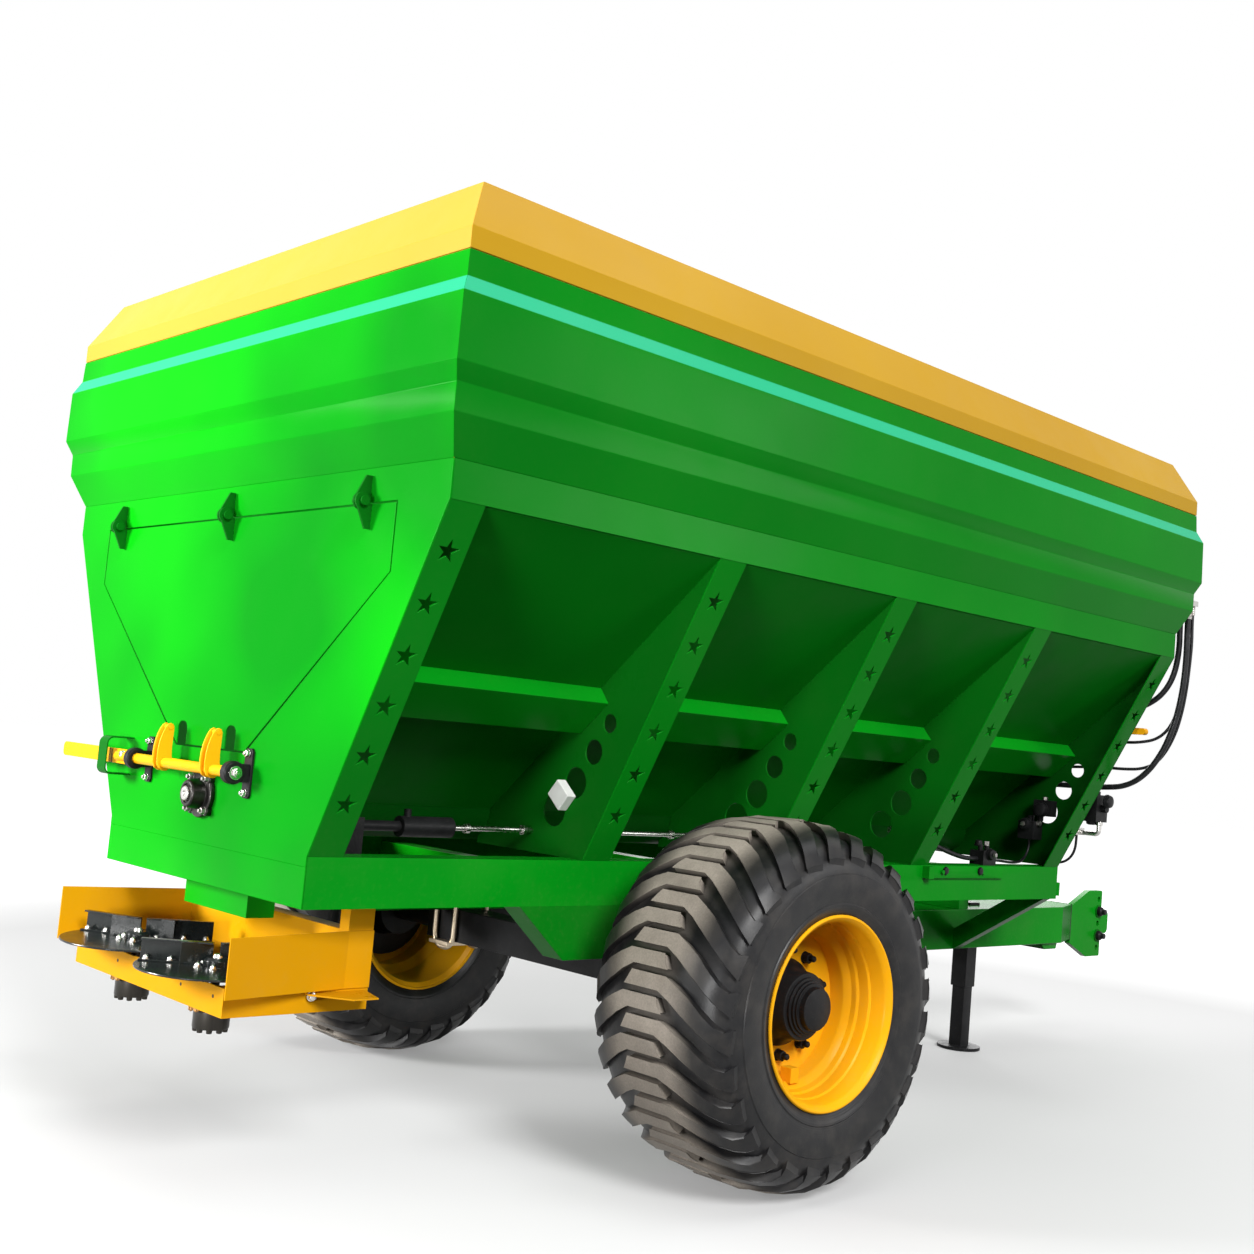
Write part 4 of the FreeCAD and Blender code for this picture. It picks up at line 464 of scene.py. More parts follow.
finishes = {
    # the end greens and the end crown carry painted light on the end walls and panels, crossmembers, chute
    # and rear door
    "upper_side_walls": (banded, 0.003, 5), "upper_end_walls": (paintedLightEndBanded, 0.003, 5),
    "crown_side_panels": (crownYellow, 0.003, 5), "crown_end_panels": (endCrown, 0.003, 5),
    "crown_joint_bands": (crownYellow, 0.0015, 5), "side_beams": (green, 0.001),
    # the auger trough takes the inner green all over: painted shade
    "slope_plates": (slopeGreen, 0.0), "auger_trough": (paintedShadeGreen, 0.0),
    # the front panel and the rib webs take the web green: painted shade
    "rear_panel": (paintedLightEndGreen, 0.002), "front_panel": (paintedShadeWebGreen, 0.002), "rib_flanges": (green, 0.0015),
    "rib_webs": (paintedShadeWebGreen, 0.001), "stringers": (frameGreen, 0.0025), "auger_drive": (black, 0.004),
    "chassis_rails": (frameGreen, 0.004), "crossmembers": (paintedLightEndGreen, 0.003),
    "axle_beam": (black, 0.006), "axle_hangers": (green, 0.002), "axle_clamps": (zinc, 0.002),
    "drawbar_beam": (frameGreen, 0.006), "drawbar_mounts": (frameGreen, 0.002),
    "drawbar_braces": (frameGreen, 0.002), "hitch_head": (frameGreen, 0.004),
    "hitch_tongue": (frameGreen, 0.006), "hitch_bolts": (black, 0.002), "jack_tube": (black, 0.003),
    # the spinner frame and guards take the darker spinner yellow: painted shade
    "spinner_frame": (paintedShadeSpinnerYellow, 0.002), "spinner_guards": (paintedShadeSpinnerYellow, 0.0012),
    "discharge_chute": (paintedLightEndGreen, 0.0015), "hose_unions": (steel, 0.0015),
    "sensor_box": (plastic, 0.004), "hydraulic_valves": (black, 0.008), "marker_post": (steel, 0.001),
    # the hinge brackets, lever guide and hinge arms take the web green: painted shade
    "flank_rod": (steel, 0.001), "door_hinge_brackets": (paintedShadeWebGreen, 0.001),
    "lever_guide": (paintedShadeWebGreen, 0.001), "rear_door": (paintedLightEndGreen, 0.0015),
    "door_hinge_arms": (paintedShadeWebGreen, 0.002), "auger": (wornSteel, 0.0), "jack_leg": (black, 0.002),
}


# where second paints start (past the nose, painted shade on the drawbar's sides), and how far the side
# beams lap the sloping plates
touches = {"nose": 4.895, "middle": 2.0, "beamFoot": 1.95, "beamLap": 0.003, "handle": (1.58, 0.915)}


def repaint(piece, material, chosen):
    # second material where chosen(centre, normal) holds
    piece.data.materials.append(material)
    for face in piece.data.polygons:
        if chosen(face.center, face.normal):
            face.material_index = 1


def dressAll():
    nose = rearFace + touches["nose"]
    middle = rearFace + touches["middle"]
    overValve, pastPanel = touches["handle"]
    for node, (material, bevel, *smooth) in finishes.items():
        piece = dressNode(node, material, bevel, *smooth)
        if node == "drawbar_beam":
            # painted shade on the sides of the drawbar's nose
            repaint(piece, paintedShadeWebGreen, lambda centre, normal: centre.y > nose and abs(normal.z) < 0.5)
        if node == "front_panel":
            # painted shade on the front panel's rear-facing side
            repaint(piece, paintedShadeGreen, lambda centre, normal: normal.y < -0.5)
        if node == "side_beams":  # the lower edge laps the sloping plate, so no light comes through
            for vert in piece.data.vertices:
                if vert.co.z < touches["beamFoot"]:
                    vert.co.z -= touches["beamLap"]
        if node == "upper_side_walls":  # no stripe inside the hopper
            repaint(piece, green, lambda centre, normal: centre.x * normal.x < 0)
        if node == "upper_end_walls":
            # inside the end walls the brighter end green stays, without the stripe: painted light
            repaint(piece, paintedLightEndGreen, lambda centre, normal: (centre.y - middle) * normal.y < 0)
        if node == "hydraulic_valves":
            repaint(piece, yellow, lambda centre, normal: centre.z > overValve and centre.x > pastPanel)


print("sheet metal and frame")
dressAll()


# ---- tyres

tyre = {"middle": (1.067, 1.487, 0.581), "radius": 0.581, "lugs": 28, "turn": 4.4, "height": 0.028,
        "shoulder": 0.255,
        # leading and trailing edge of a lug: (distance from the middle, degrees round the axle)
        "lead": [(-0.057, -1.9), (0.083, -1.9), (0.124, -0.2), (0.170, 2.6), (0.218, 6.6), (0.249, 9.6),
                 (0.267, 11.0), (0.280, 10.7)],
        "trail": [(-0.078, 1.9), (0.059, 1.9), (0.105, 4.3), (0.152, 7.9), (0.204, 12.0), (0.238, 15.0),
                  (0.259, 17.2), (0.276, 19.0)],
        # tread height across: (distance from the middle, radius)
        "crown": [(0.0, 0.581), (0.060, 0.5795), (0.110, 0.575), (0.160, 0.567), (0.205, 0.555),
                  (0.235, 0.541), (0.258, 0.521), (0.280, 0.482)],
        # casing: outside from bead to middle, then inside from bead to bead
        "carcass": [(0.250, 0.2865), (0.260, 0.300), (0.268, 0.322), (0.2745, 0.330), (0.2755, 0.338),
                    (0.2725, 0.342), (0.279, 0.370), (0.2838, 0.411), (0.2835, 0.432), (0.2795, 0.4345),
                    (0.2785, 0.446), (0.272, 0.472), (0.256, 0.497), (0.232, 0.517), (0.196, 0.531),
                    (0.140, 0.544), (0.070, 0.5515), (0.0, 0.553)],
        "inside": [(-0.232, 0.2865), (-0.262, 0.400), (-0.215, 0.490), (0.215, 0.490), (0.262, 0.400),
                   (0.232, 0.2865)]}


def between(table, at):
    for (a, low), (b, high) in zip(table, table[1:]):
        if at <= b:
            return low + (high - low) * (at - a) / (b - a)
    return table[-1][1]


def tyreLug():
    # one lug, laid out as (across, degrees, level) and then bent onto the carcass
    bm = bmesh.new()
    count = len(tyre["lead"]) - 1
    bmesh.ops.create_grid(bm, x_segments=count, y_segments=2, size=0.5)
    for vert in bm.verts:
        i = round((vert.co.x + 0.5) * count)
        share = vert.co.y + 0.5
        lead, trail = Vector(tyre["lead"][i]), Vector(tyre["trail"][i])
        vert.co = (*(lead + (trail - lead) * share), 0)
    pushed = bmesh.ops.extrude_face_region(bm, geom=bm.faces[:])
    tops = [g for g in pushed["geom"] if isinstance(g, bmesh.types.BMVert)]
    for vert in tops:
        vert.co.z = 1
    upper = set(tops)
    for vert in bm.verts:
        across, degrees, level = vert.co
        reach = between(tyre["crown"], abs(across))
        inward = across < tyre["shoulder"]
        base = reach - tyre["height"] * (1.15 if inward else 0.9)
        turn = math.radians(degrees)
        radius = base + (reach - base) * level
        side = across if inward else across - 0.004 * (1 - level)
        vert.co = (side, radius * math.cos(turn), radius * math.sin(turn))
    edges = [e for e in bm.edges if all(v in upper for v in e.verts)
             and any(not all(v in upper for v in f.verts) for f in e.link_faces)]
    bmesh.ops.bevel(bm, geom=edges, offset=0.0035, segments=2, affect="EDGES", profile=0.6, material=-1)
    return bm


def makeTyre(name, side, node, body):
    axle = place(side * tyre["middle"][0], *tyre["middle"][1:])
    bm = bmesh.new()
    profile = tyre["carcass"] + [(-a, r) for a, r in reversed(tyre["carcass"][:-1])]
    addTurned(bm, profile + tyre["inside"], (0, 0, 0), (1, 0, 0), 112, closed=True)
    bmesh.ops.rotate(bm, verts=bm.verts, cent=(0, 0, 0), matrix=Matrix.Rotation(0.02, 3, "X"))
    pitch = 2 * math.pi / tyre["lugs"]
    for row in (0, 1):
        lug = tyreLug()
        if row:
            bmesh.ops.scale(lug, vec=(-1, 1, 1), verts=lug.verts)
        start = math.radians(tyre["turn"]) + row * pitch / 2
        bmesh.ops.rotate(lug, verts=lug.verts, cent=(0, 0, 0), matrix=Matrix.Rotation(start, 3, "X"))
        bmesh.ops.spin(lug, geom=lug.verts[:] + lug.edges[:] + lug.faces[:], cent=(0, 0, 0),
                       axis=(1, 0, 0), dvec=(0, 0, 0), angle=-2 * math.pi, steps=tyre["lugs"],
                       use_merge=False, use_duplicate=True)
        bmesh.ops.remove_doubles(lug, verts=lug.verts, dist=1e-6)
        mesh = bpy.data.meshes.new("lugs")
        lug.to_mesh(mesh)
        lug.free()
        bm.from_mesh(mesh)
        bpy.data.meshes.remove(mesh)
    # the beveled lugs reach just the rolling radius
    trim = tyre["radius"] / max(math.hypot(vert.co.y, vert.co.z) for vert in bm.verts)
    bmesh.ops.scale(bm, vec=(side, trim, trim), verts=bm.verts)
    bmesh.ops.translate(bm, verts=bm.verts, vec=axle)
    finishPiece(bm, name, tyreRubber(name + "Rubber", axle), body, [node], smooth=38)


print("tyres")
makeTyre("tyreRight", 1, "tyre_right", "wheel_right")
makeTyre("tyreLeft", -1, "tyre_left", "wheel_left")


# ---- rims and hubs

wheel = {"discFace": 0.055, "nutCircle": 0.1675, "nuts": 10, "nutStep": (0.040, 0.045),
         # block at the rim's lowest point: how far out, how low, its half sides and height
         "block": (0.055, 0.2415, (0.022, 0.020, 0.048)),
         # (distance out from the disc, radius)
         "hub": [(0.150, 0.0), (0.150, 0.060), (0.147, 0.066), (0.128, 0.068), (0.127, 0.078),
                 (0.119, 0.078), (0.118, 0.084), (0.109, 0.084), (0.108, 0.092), (0.099, 0.092),
                 (0.098, 0.104), (0.092, 0.107), (0.060, 0.110), (0.030, 0.120), (0.012, 0.136),
                 (0.0005, 0.140), (0.0005, 0.104), (-0.0145, 0.104), (-0.0145, 0.204), (-0.036, 0.204),
                 (-0.040, 0.118), (-0.060, 0.110), (-0.144, 0.104), (-0.144, 0.0405), (-0.08, 0.0405),
                 (-0.08, 0.0)],
         # (distance out from the wheel's middle, radius), up the outside and back down the inside
         "rim": [(-0.270, 0.304), (-0.260, 0.304), (-0.254, 0.286), (-0.150, 0.280), (-0.080, 0.280),
                 (-0.050, 0.246), (0.120, 0.246), (0.150, 0.280), (0.254, 0.286), (0.260, 0.303),
                 (0.265, 0.304), (0.270, 0.300), (0.270, 0.295), (0.264, 0.288), (0.256, 0.281),
                 (0.248, 0.278), (0.200, 0.276), (0.194, 0.270), (0.158, 0.269), (0.151, 0.262),
                 (0.134, 0.258), (0.118, 0.241), (0.110, 0.238), (-0.042, 0.238), (-0.075, 0.270),
                 (-0.250, 0.277), (-0.262, 0.295), (-0.270, 0.295)],
         "disc": [(0.055, 0.1055), (0.055, 0.212), (0.061, 0.224), (0.061, 0.240), (0.041, 0.240),
                  (0.041, 0.1055)]}


def makeWheelCentre(side, name):
    middle = place(side * tyre["middle"][0], *tyre["middle"][1:])
    out = Vector((side, 0, 0))
    face = middle + out * wheel["discFace"]
    body = "wheel_" + name.lower()
    rim = bmesh.new()
    addTurned(rim, wheel["rim"], middle, out, 112, closed=True)
    addTurned(rim, wheel["disc"], middle, out, 96, closed=True)
    away, drop, (deep, half, tall) = wheel["block"]
    foot = face + out * away - Vector((0, 0, drop))
    addBox(rim, foot - Vector((deep, half, 0)), foot + Vector((deep, half, tall)))
    finishPiece(rim, "rim" + name, yellow, body, ["rim_" + name.lower()], 0.0015, 28)
    hub = bmesh.new()
    addTurned(hub, wheel["hub"], face, out, 72)
    step, tip = wheel["nutStep"]
    for i in range(wheel["nuts"]):
        angle = 2 * math.pi * (i + 0.5) / wheel["nuts"]
        reach = Vector((0, math.cos(angle), math.sin(angle))) * wheel["nutCircle"]
        seat = face + reach
        addHex(hub, seat, out, 0.031, 0.022, 0.020)
        addRod(hub, seat, seat + out * step, 0.0105, sides=16)
        addRod(hub, seat + out * step, seat + out * tip, 0.0105, 0.007, 16)
    finishPiece(hub, "hub" + name, black, body, ["hub_" + name.lower()], 0.0012, 28)


makeWheelCentre(1, "Right")
makeWheelCentre(-1, "Left")


# ---- spreading discs and their motors

spreader = {"station": 0.258, "fromRear": -0.036, "top": 0.606, "radius": 0.2345, "sheet": 0.006,
            "hubRadius": 0.038, "bore": 0.0145, "nutCircle": 0.058, "nuts": 6, "vaneFrom": 0.020,
            "vaneTo": 0.228, "vaneAside": 0.040, "vaneHeight": 0.063, "vaneFoot": 0.034, "vaneLip": 0.022,
            "vaneSheet": 0.005, "nutStations": (0.118, -0.020),
            # (height over the disc, radius)
            "cap": [(0.012, 0.0), (0.012, 0.014), (0.030, 0.014), (0.036, 0.010), (0.038, 0.0)],
            "dome": [(0.002, 0.0), (0.002, 0.0085), (0.007, 0.008), (0.011, 0.0055), (0.0135, 0.0025),
                     (0.014, 0.0)],
            # degrees of each vane and the side that its foot is on
            "right": ((232, 1), (82, -1)), "left": ((207, 1), (60, -1))}


def addDomeNut(bm, at):
    addRod(bm, at, at + Vector((0, 0, 0.002)), 0.0115, sides=16)
    addTurned(bm, spreader["dome"], at, (0, 0, 1), 16)


def makeDisc(side, name):
    top = place(side * spreader["station"], spreader["fromRear"], spreader["top"])
    sheet = spreader["vaneSheet"]
    bm = bmesh.new()
    nuts = bmesh.new()
    r, t, h, bore = (spreader[key] for key in ("radius", "sheet", "hubRadius", "bore"))
    addTurned(bm, [(-0.036, bore), (-0.036, h), (-t, h), (-t, r - 0.001), (-t / 2, r), (0, r - 0.001),
                   (0, h), (0.018, h), (0.026, h - 0.008), (0.026, bore)], top, (0, 0, 1), 96, closed=True)
    a, b = spreader["vaneFrom"], spreader["vaneTo"]
    w, l, tall = spreader["vaneFoot"], spreader["vaneLip"], spreader["vaneHeight"]
    early, late = spreader["nutStations"]
    section = [(0, 0), (w, 0), (w, sheet), (sheet, sheet), (sheet, tall - sheet), (l, tall - sheet),
               (l, tall), (0, tall)]
    for degrees, foot in spreader[name.lower()]:
        turn = Matrix.Translation(top) @ Matrix.Rotation(math.radians(degrees), 4, "Z")
        turn = turn @ Matrix.Translation((0, -foot * spreader["vaneAside"], 0))
        addPlate(bm, [turn @ Vector((a, foot * y, z)) for y, z in section],
                 turn.to_3x3() @ Vector((b - a, 0, 0)))
        fold = [(a, 0), (a + 0.090, foot * 0.033), (a + 0.088, foot * 0.038), (a, foot * sheet)]
        addPlate(bm, [turn @ Vector((x, y, 0)) for x, y in fold], (0, 0, tall))
        for along in (a + early, b + late):
            addDomeNut(nuts, turn @ Vector((along, foot * (w - 0.012), sheet)))
    for i in range(spreader["nuts"]):
        angle = math.radians(360 / spreader["nuts"] * i + 20)
        reach = Vector((math.cos(angle), math.sin(angle), 0)) * spreader["nutCircle"]
        addDomeNut(nuts, top + reach)
    addTurned(nuts, spreader["cap"], top, (0, 0, 1), 24)
    body = "disc_" + name.lower()
    finishPiece(bm, "spreadingDisc" + name, discPaint, body,
                ["spreading_disc_" + name.lower()], 0.0008, 30)
    finishPiece(nuts, "discNuts" + name, steel, body, smooth=35)


motor = {"foot": 0.421, "feet": 9, "feetCircle": 0.0425,
         # degrees round the motor and height of each port
         "ports": ((250, 0.066), (285, 0.070), (215, 0.068)),
         # (height over the foot, radius)
         "profile": [(0.010, 0.0), (0.010, 0.0515), (0.014, 0.053), (0.060, 0.053), (0.063, 0.051),
                     (0.066, 0.051), (0.069, 0.0545), (0.078, 0.0545), (0.0815, 0.050), (0.0815, 0.039),
                     (0.1095, 0.039), (0.1095, 0.0135), (0.194, 0.0135), (0.194, 0.0)]}


def makeMotors():
    iron, ports = bmesh.new(), bmesh.new()
    for side in (-1, 1):
        foot = place(side * spreader["station"], spreader["fromRear"], motor["foot"])
        addTurned(iron, motor["profile"], foot, (0, 0, 1), 64)
        for i in range(motor["feet"]):
            angle = 2 * math.pi * (i + 0.2) / motor["feet"]
            at = foot + Vector((math.cos(angle), math.sin(angle), 0)) * motor["feetCircle"]
            addRod(iron, at + Vector((0, 0, 0.012)), at, 0.0095, 0.008, 18)
        for turn, low in motor["ports"]:
            angle = math.radians(turn)
            out = Vector((math.cos(angle), math.sin(angle), 0))
            start = foot + out * 0.046 + Vector((0, 0, low))
            addRod(ports, start, start + out * 0.022, 0.0075, sides=16)
            addHex(ports, start + out * 0.010, out, 0.019, 0.008)
    finishPiece(iron, "discMotors", motorIron, "chassis", ["disc_motors"], 0.001, 30)
    finishPiece(ports, "motorPorts", brass, "chassis", bevel=0.0008)


print("spreading unit")
makeDisc(1, "Right")
makeDisc(-1, "Left")
makeMotors()


# ---- door latch, its bolts and the auger's rear bearing

latch = {"height": 1.170, "axis": -0.056, "shaft": 0.017, "shaftFrom": -0.500, "shaftTo": 0.280,
         "leverFrom": -0.925, "leverTo": -0.403, "leverHalf": 0.024, "leverThick": 0.012,
         "cams": (-0.185, 0.125), "gap": 0.023, "cheek": 0.0075, "pin": (-0.049, 0.112, 0.0085),
         # outline of a cheek: (from the rear face, over the shaft)
         "crescent": [(-0.082, 0.000), (-0.0835, 0.024), (-0.0825, 0.048), (-0.079, 0.070), (-0.073, 0.091),
                      (-0.065, 0.110), (-0.058, 0.120), (-0.049, 0.1255), (-0.040, 0.122), (-0.0355, 0.112),
                      (-0.036, 0.085), (-0.037, 0.050), (-0.035, 0.022), (-0.031, 0.004), (-0.036, -0.016),
                      (-0.047, -0.025), (-0.060, -0.026), (-0.074, -0.018)],
         "blocks": (-0.375, 0.262), "boltRise": 0.0585, "ring": 0.0345, "ringHalf": 0.017,
         # a block's plate: half width, half height, thickness; then its ribs, low and high
         "plate": (0.022, 0.074, 0.008), "rib": 0.012, "ribs": ((-0.027, -0.0185), (0.0185, 0.027))}


def makeLatch():
    level, axis = latch["height"], latch["axis"]
    bm = bmesh.new()
    addRod(bm, place(latch["shaftFrom"], axis, level), place(latch["shaftTo"], axis, level),
           latch["shaft"], sides=40)
    half, thick = latch["leverHalf"], latch["leverThick"] / 2
    a, b = latch["leverFrom"], latch["leverTo"]
    outline = [(a + 0.014, -half), (b - 0.012, -half), (b, -half + 0.012), (b, half - 0.012),
               (b - 0.012, half), (a + 0.014, half), (a + 0.004, half - 0.005), (a, half - 0.015),
               (a, -half + 0.015), (a + 0.004, -half + 0.005)]
    addPlate(bm, [place(x, axis - thick, level + z) for x, z in outline], (0, 2 * thick, 0))
    y, z, radius = latch["pin"]
    reach = latch["gap"] / 2 + latch["cheek"] + 0.003
    for station in latch["cams"]:
        for start in (station - latch["gap"] / 2 - latch["cheek"], station + latch["gap"] / 2):
            cheek = [place(start, back, level + up) for back, up in latch["crescent"]]
            addPlate(bm, cheek, (latch["cheek"], 0, 0))
        addRod(bm, place(station - reach, y, level + z), place(station + reach, y, level + z), radius,
               sides=28)
    finishPiece(bm, "doorLatch", yellow, "latch_shaft", ["door_latch"], 0.0018, 30)
    ends = bmesh.new()
    tip = place(latch["shaftTo"], axis, level)
    addRod(ends, tip, tip + Vector((0.004, 0, 0)), 0.0205, sides=32)
    addHex(ends, tip + Vector((0.004, 0, 0)), (1, 0, 0), 0.024, 0.009)
    addRod(ends, tip, tip + Vector((0.018, 0, 0)), 0.0065, sides=16)
    addHex(ends, place(-0.450, axis - thick, level + 0.008), (0, -1, 0), 0.019, 0.009, 0.0125)
    finishPiece(ends, "latchShaftEnd", steel, "latch_shaft", bevel=0.0006)


def makeLatchBolts():
    bolts, blocks = bmesh.new(), bmesh.new()
    level, axis, wide = latch["height"], latch["axis"], latch["ringHalf"]
    half, tall, thick = latch["plate"]
    ring, rib = latch["ring"], latch["rib"]
    outline = [(-half, -tall + 0.010), (-half + 0.008, -tall), (half - 0.008, -tall),
               (half, -tall + 0.010), (half, tall - 0.010), (half - 0.008, tall),
               (-half + 0.008, tall), (-half, tall - 0.010)]
    for station in latch["blocks"]:
        addPlate(blocks, [place(station + x, -0.0003, level + z) for x, z in outline], (0, -thick, 0))
        for low, high in latch["ribs"]:
            addBox(blocks, place(station - rib, axis + 0.004, level + low),
                   place(station + rib, -0.006, level + high))
        addBox(blocks, place(station - rib, axis + 0.024, level - 0.022),
               place(station + rib, -0.006, level + 0.022))
        for rise in (-latch["boltRise"], latch["boltRise"]):
            at = place(station, -thick, level + rise)
            addHex(bolts, at, (0, -1, 0), 0.019, 0.009, 0.0115)
            addRod(bolts, at, at - Vector((0, 0.018, 0)), 0.0055, sides=14)
        addTurned(blocks, [(-wide, 0.0182), (-wide, ring - 0.005), (-wide + 0.005, ring),
                           (wide - 0.005, ring), (wide, ring - 0.005), (wide, 0.0182)],
                  place(station, axis, level), (1, 0, 0), 56, closed=True)
    finishPiece(bolts, "latchBlockBolts", steel, "chassis", bevel=0.0006)
    finishPiece(blocks, "latchBlocks", black, "chassis", ["latch_bearing_blocks"], 0.0015)


bearing = {"height": 1.088, "front": 4.0, "bolts": 0.0485, "boltSeat": -0.017,
           # (distance out from the panel, radius)
           "profile": [(0.0, 0.024), (0.0, 0.070), (0.004, 0.073), (0.014, 0.073), (0.017, 0.070),
                       (0.018, 0.048), (0.044, 0.044), (0.056, 0.042), (0.060, 0.038), (0.060, 0.030),
                       (0.054, 0.027), (0.054, 0.024)],
           "frontProfile": [(0.0, 0.0205), (0.0, 0.061), (0.014, 0.061), (0.014, 0.042), (0.030, 0.038),
                            (0.043, 0.030), (0.043, 0.0205)],
           "cap": [(0.046, 0.0), (0.046, 0.0225), (0.064, 0.0225), (0.067, 0.0195), (0.067, 0.008),
                   (0.062, 0.006), (0.062, 0.0)]}


def makeBearings():
    housing, bolts = bmesh.new(), bmesh.new()
    rear = place(0, 0, bearing["height"])
    addTurned(housing, bearing["profile"], rear, (0, -1, 0), 64, closed=True)
    front = place(0, bearing["front"], bearing["height"])
    addTurned(housing, bearing["frontProfile"], front, (0, 1, 0), 48, closed=True)
    reach = bearing["bolts"]
    for x, z in ((-reach, -reach), (reach, -reach), (reach, reach), (-reach, reach)):
        at = rear + Vector((x, bearing["boltSeat"], z))
        addRod(housing, at + Vector((0, 0.016, 0)), at, 0.016, sides=24)
        addHex(bolts, at, (0, -1, 0), 0.019, 0.012, 0.012)
        addRod(bolts, at, at - Vector((0, 0.022, 0)), 0.0055, sides=14)
    finishPiece(housing, "augerBearings", castIron, "chassis", ["auger_bearings"],
                0.0015, 30)
    finishPiece(bolts, "bearingBolts", wornSteel, "chassis", bevel=0.0006)
    cap = bmesh.new()
    addTurned(cap, bearing["cap"], rear, (0, -1, 0), 40)
    finishPiece(cap, "augerShaftEnd", steel, "auger_rotor", bevel=0.0006)


print("latch and bearing")
makeLatch()
makeLatchBolts()
makeBearings()


# ---- bolts, washers and other small fittings, with painted shade in the rear bar's holes and the hitch gap

fittings = {"railSide": 0.632, "railBolts": ((3.0751, 0.945), (3.3342, 0.945)),
            # black discs on the rear bar stand for its holes: painted shade
            "barHoleShadows": (-0.182, 0.018, 0.231, 0.422), "barFace": -0.129, "barHeight": 0.555,
            "frameBolt": (0.4855, 0.147, 0.552), "headSide": 0.0652, "headBolt": 5.423,
            "headHeights": (0.5345, 0.6655),
            # (distance out from the hitch head, radius)
            "headNut": [(0.005, 0.0), (0.005, 0.026), (0.022, 0.024), (0.030, 0.016), (0.046, 0.0145),
                        (0.048, 0.0)],
            # a thin black box behind the hitch head: painted shadow of the gap at the drawbar's nose
            "collar": ((-0.066, 5.126, 0.519), (0.068, 5.134, 0.708))}


def makeFittings():
    dark, bright, washers = bmesh.new(), bmesh.new(), bmesh.new()
    for fromRear, z in fittings["railBolts"]:
        addHex(dark, place(fittings["railSide"], fromRear, z), (1, 0, 0), 0.030, 0.011)
    # black discs for the rear bar's holes: painted shade
    for x in fittings["barHoleShadows"]:
        at = place(x, fittings["barFace"], fittings["barHeight"])
        addRod(dark, at, at - Vector((0, 0.0016, 0)), 0.0055, sides=20)
    for side in (-1, 1):
        x, fromRear, z = fittings["frameBolt"]
        addHex(bright, place(side * x, fromRear, z), (side, 0, 0), 0.022, 0.011, 0.015)
    for z in fittings["headHeights"]:
        at = place(fittings["headSide"], fittings["headBolt"], z)
        addRod(washers, at, at + Vector((0.005, 0, 0)), 0.034, sides=40)
        addTurned(dark, fittings["headNut"], at, (1, 0, 0), 32)
    # black box standing in for the shadowed gap behind the hitch head: painted shadow
    low, high = fittings["collar"]
    addBox(dark, place(*low), place(*high))
    finishPiece(dark, "darkBoltsAndPaintedShade", black, "chassis", bevel=0.0008)
    finishPiece(bright, "frameBolts", steel, "chassis", bevel=0.0006)
    # the washers take the web green: painted shade
    finishPiece(washers, "hitchWashers", paintedShadeWebGreen, "chassis", bevel=0.001)


valves = {
    # (start, direction, radius, length): black caps, then steel plugs and crimped hose ends
    "caps": (((0.722, 4.095, 1.325), (0, 0, 1), 0.023, 0.040),
             ((0.790, 4.095, 1.285), (1, 0, 0), 0.029, 0.028),
             ((0.672, 4.090, 1.325), (0, 0, 1), 0.015, 0.022),
             ((0.722, 4.095, 1.192), (0, 0, -1), 0.024, 0.020),
             ((0.552, 3.948, 1.222), (0, -1, 0), 0.031, 0.034),
             ((0.490, 3.918, 1.150), (0, -1, 0), 0.026, 0.026),
             ((0.583, 3.480, 1.012), (1, 0, 0), 0.024, 0.022),
             ((0.536, 3.462, 1.045), (0, 0, 1), 0.016, 0.026)),
    "plugs": (((0.5515, 3.500, 1.048), (0, 0, 1), 0.020, 0.016),
              ((0.528, 3.952, 1.155), (1, 0, 0), 0.022, 0.014),
              ((0.552, 3.968, 1.264), (0, 0, 1), 0.020, 0.014),
              ((0.608, 3.480, 1.012), (1, 0, 0), 0.018, 0.008),
              ((0.490, 3.892, 1.150), (0, -1, 0), 0.018, 0.008)),
    "crimps": (((0.470, 4.080, 1.344), (1, 0, 0), 0.0175, 0.052),
               ((0.815, 4.080, 1.708), (1, 0, 0.02), 0.0175, 0.050),
               ((0.680, 4.080, 1.568), (1, 0, 0), 0.0100, 0.034),
               ((0.470, 4.080, 1.428), (1, 0, 0), 0.0100, 0.034),
               ((1.128, 4.100, 2.190), (0, 0, -1), 0.0175, 0.060),
               ((1.092, 4.100, 2.190), (0, 0, -1), 0.0175, 0.060),
               ((1.112, 4.130, 2.190), (0, 0, -1), 0.0100, 0.040),
               ((1.134, 4.130, 2.190), (0, 0, -1), 0.0100, 0.040),
               ((0.500, 2.905, 1.098), (0, 1, 0), 0.0145, 0.044))}


def makeValveTrim():
    caps, plugs = bmesh.new(), bmesh.new()
    for at, direction, radius, length in valves["caps"]:
        bend = radius * 0.35
        addTurned(caps, [(0, 0), (0, radius), (length - bend, radius), (length - bend * 0.4, radius * 0.9),
                         (length, radius * 0.55), (length, 0)], place(*at), direction, 32)
        addRod(caps, place(*at), place(*at) + Vector(direction) * length * 0.3, radius * 1.12, sides=32)
    for at, direction, across, height in valves["plugs"]:
        addHex(plugs, place(*at), direction, across, height, across * 0.6)
    for at, direction, radius, length in valves["crimps"]:
        rings = [(0, 0), (0, radius)]
        for i in range(1, 5):
            along = length * i / 5
            rings += [(along - 0.002, radius), (along, radius * 0.93), (along + 0.002, radius)]
        addTurned(plugs, rings + [(length, radius * 0.95), (length, 0)], place(*at), direction, 28)
    finishPiece(caps, "valveCaps", black, "chassis", bevel=0.0008)
    finishPiece(plugs, "hoseCrimps", wornSteel, "chassis", smooth=30)


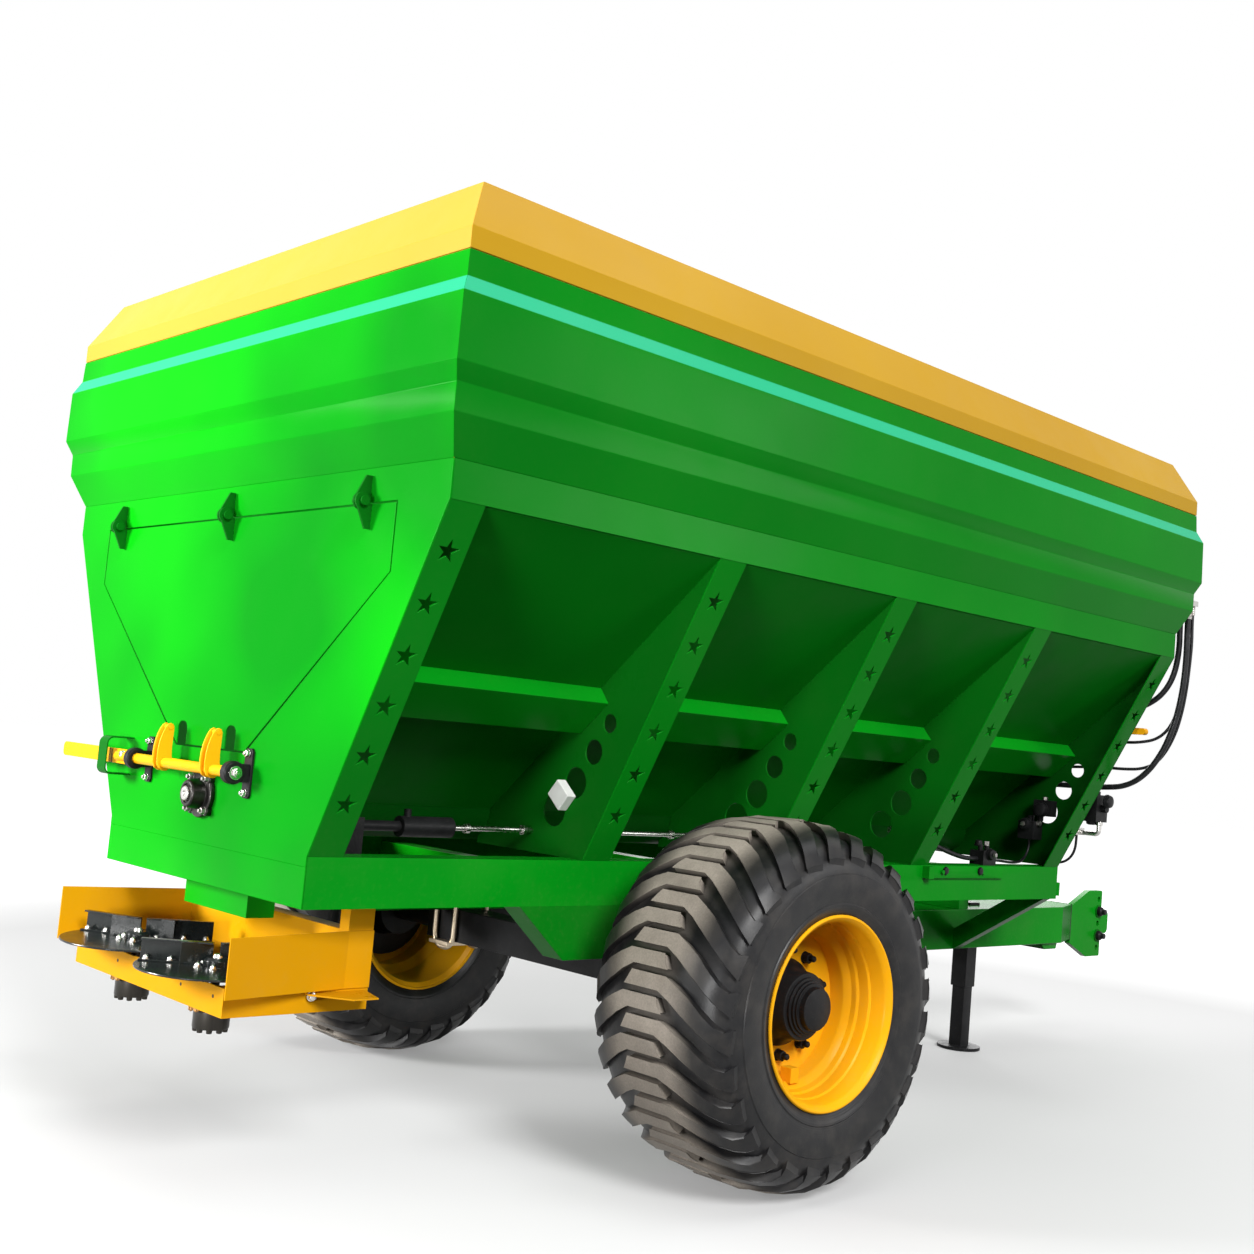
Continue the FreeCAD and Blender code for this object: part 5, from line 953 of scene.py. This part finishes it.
print("fittings")
makeFittings()
makeValveTrim()


# ---- floor, backdrop and lamps

# floor tones with their glow, the sky's level, and how far out the floor turns to white
studio = {"floor": 0.47, "glow": 0.235, "bounce": 0.04, "sky": 0.15, "clear": (4.6, 8.4)}


def showsBackground(tree):
    # camera, mirror and glass rays see the pale surroundings
    path = tree.nodes.new("ShaderNodeLightPath")
    seen = addMath(tree, "MAXIMUM", path.outputs["Is Camera Ray"], path.outputs["Is Glossy Ray"])
    return addMath(tree, "MAXIMUM", seen, path.outputs["Is Transmission Ray"])


def makeFloor():
    bm = bmesh.new()
    bmesh.ops.create_grid(bm, x_segments=4, y_segments=4, size=60)
    bmesh.ops.translate(bm, verts=bm.verts, vec=(0, 0, -0.001))
    mesh = bpy.data.meshes.new("floor")
    bm.to_mesh(mesh)
    bm.free()
    floor = bpy.data.objects.new("floor", mesh)
    bpy.context.scene.collection.objects.link(floor)
    material = bpy.data.materials.new("floorPaper")
    material.use_nodes = True
    tree = material.node_tree
    shader = tree.nodes["Principled BSDF"]
    seen = showsBackground(tree)
    where = tree.nodes.new("ShaderNodeTexCoord")
    away = tree.nodes.new("ShaderNodeVectorMath")
    away.operation = "LENGTH"
    tree.links.new(where.outputs["Object"], away.inputs[0])
    far = addRamp(tree, away.outputs["Value"], *studio["clear"], studio["glow"], 1.0)
    tone = addMix(tree, seen, (studio["bounce"],) * 3, (studio["floor"],) * 3)
    tree.links.new(tone, shader.inputs["Base Color"])
    shader.inputs["Roughness"].default_value = 1
    shader.inputs["Specular IOR Level"].default_value = 0
    shader.inputs["Emission Color"].default_value = (1, 1, 1, 1)
    tree.links.new(addMath(tree, "MULTIPLY", seen, far), shader.inputs["Emission Strength"])
    mesh.materials.append(material)


def makeSky():
    world = bpy.data.worlds.new("studio")
    bpy.context.scene.world = world
    world.use_nodes = True
    tree = world.node_tree
    background = tree.nodes["Background"]
    level = addRamp(tree, showsBackground(tree), 0, 1, studio["sky"], 1.0)
    tree.links.new(level, background.inputs["Strength"])
    background.inputs["Color"].default_value = (1, 1, 1, 1)


lamps = {
    "frontFill": {"at": (-7.0, 9.0, 5.5), "aim": (0, 1.0, 1.0), "size": 6.0, "power": 520},
    "frontSide": {"at": (10.0, 6.5, 4.2), "aim": (0.8, 2.3, 0.7), "size": 3.5, "power": 260},
    "rearKey": {"at": (-5.2, -10.5, 3.4), "aim": (0, -2.4, 1.2), "size": 2.5, "power": 1900},
    "overhead": {"at": (0, 0, 9.5), "aim": (0, 0, 0), "size": 10.0, "power": 600},
    "rightSide": {"at": (13.0, -5.0, 9.6), "aim": (0.8, 0.0, 1.0), "size": 5.0, "power": 2750},
    "lowRear": {"at": (3.0, -9.5, 0.9), "aim": (1.0, -1.5, 0.6), "size": 1.5, "power": 420},
}


def makeLamps():
    for name, facts in lamps.items():
        data = bpy.data.lights.new(name, "AREA")
        data.shape = "SQUARE"
        data.size = facts["size"]
        data.energy = facts["power"]
        lamp = bpy.data.objects.new(name, data)
        lamp.location = facts["at"]
        lamp.rotation_mode = "QUATERNION"
        lamp.rotation_quaternion = (Vector(facts["aim"]) - Vector(facts["at"])).to_track_quat("-Z", "Y")
        bpy.context.scene.collection.objects.link(lamp)


print("studio")
makeFloor()
makeSky()
makeLamps()
bpy.context.scene.view_settings.view_transform = "Standard"
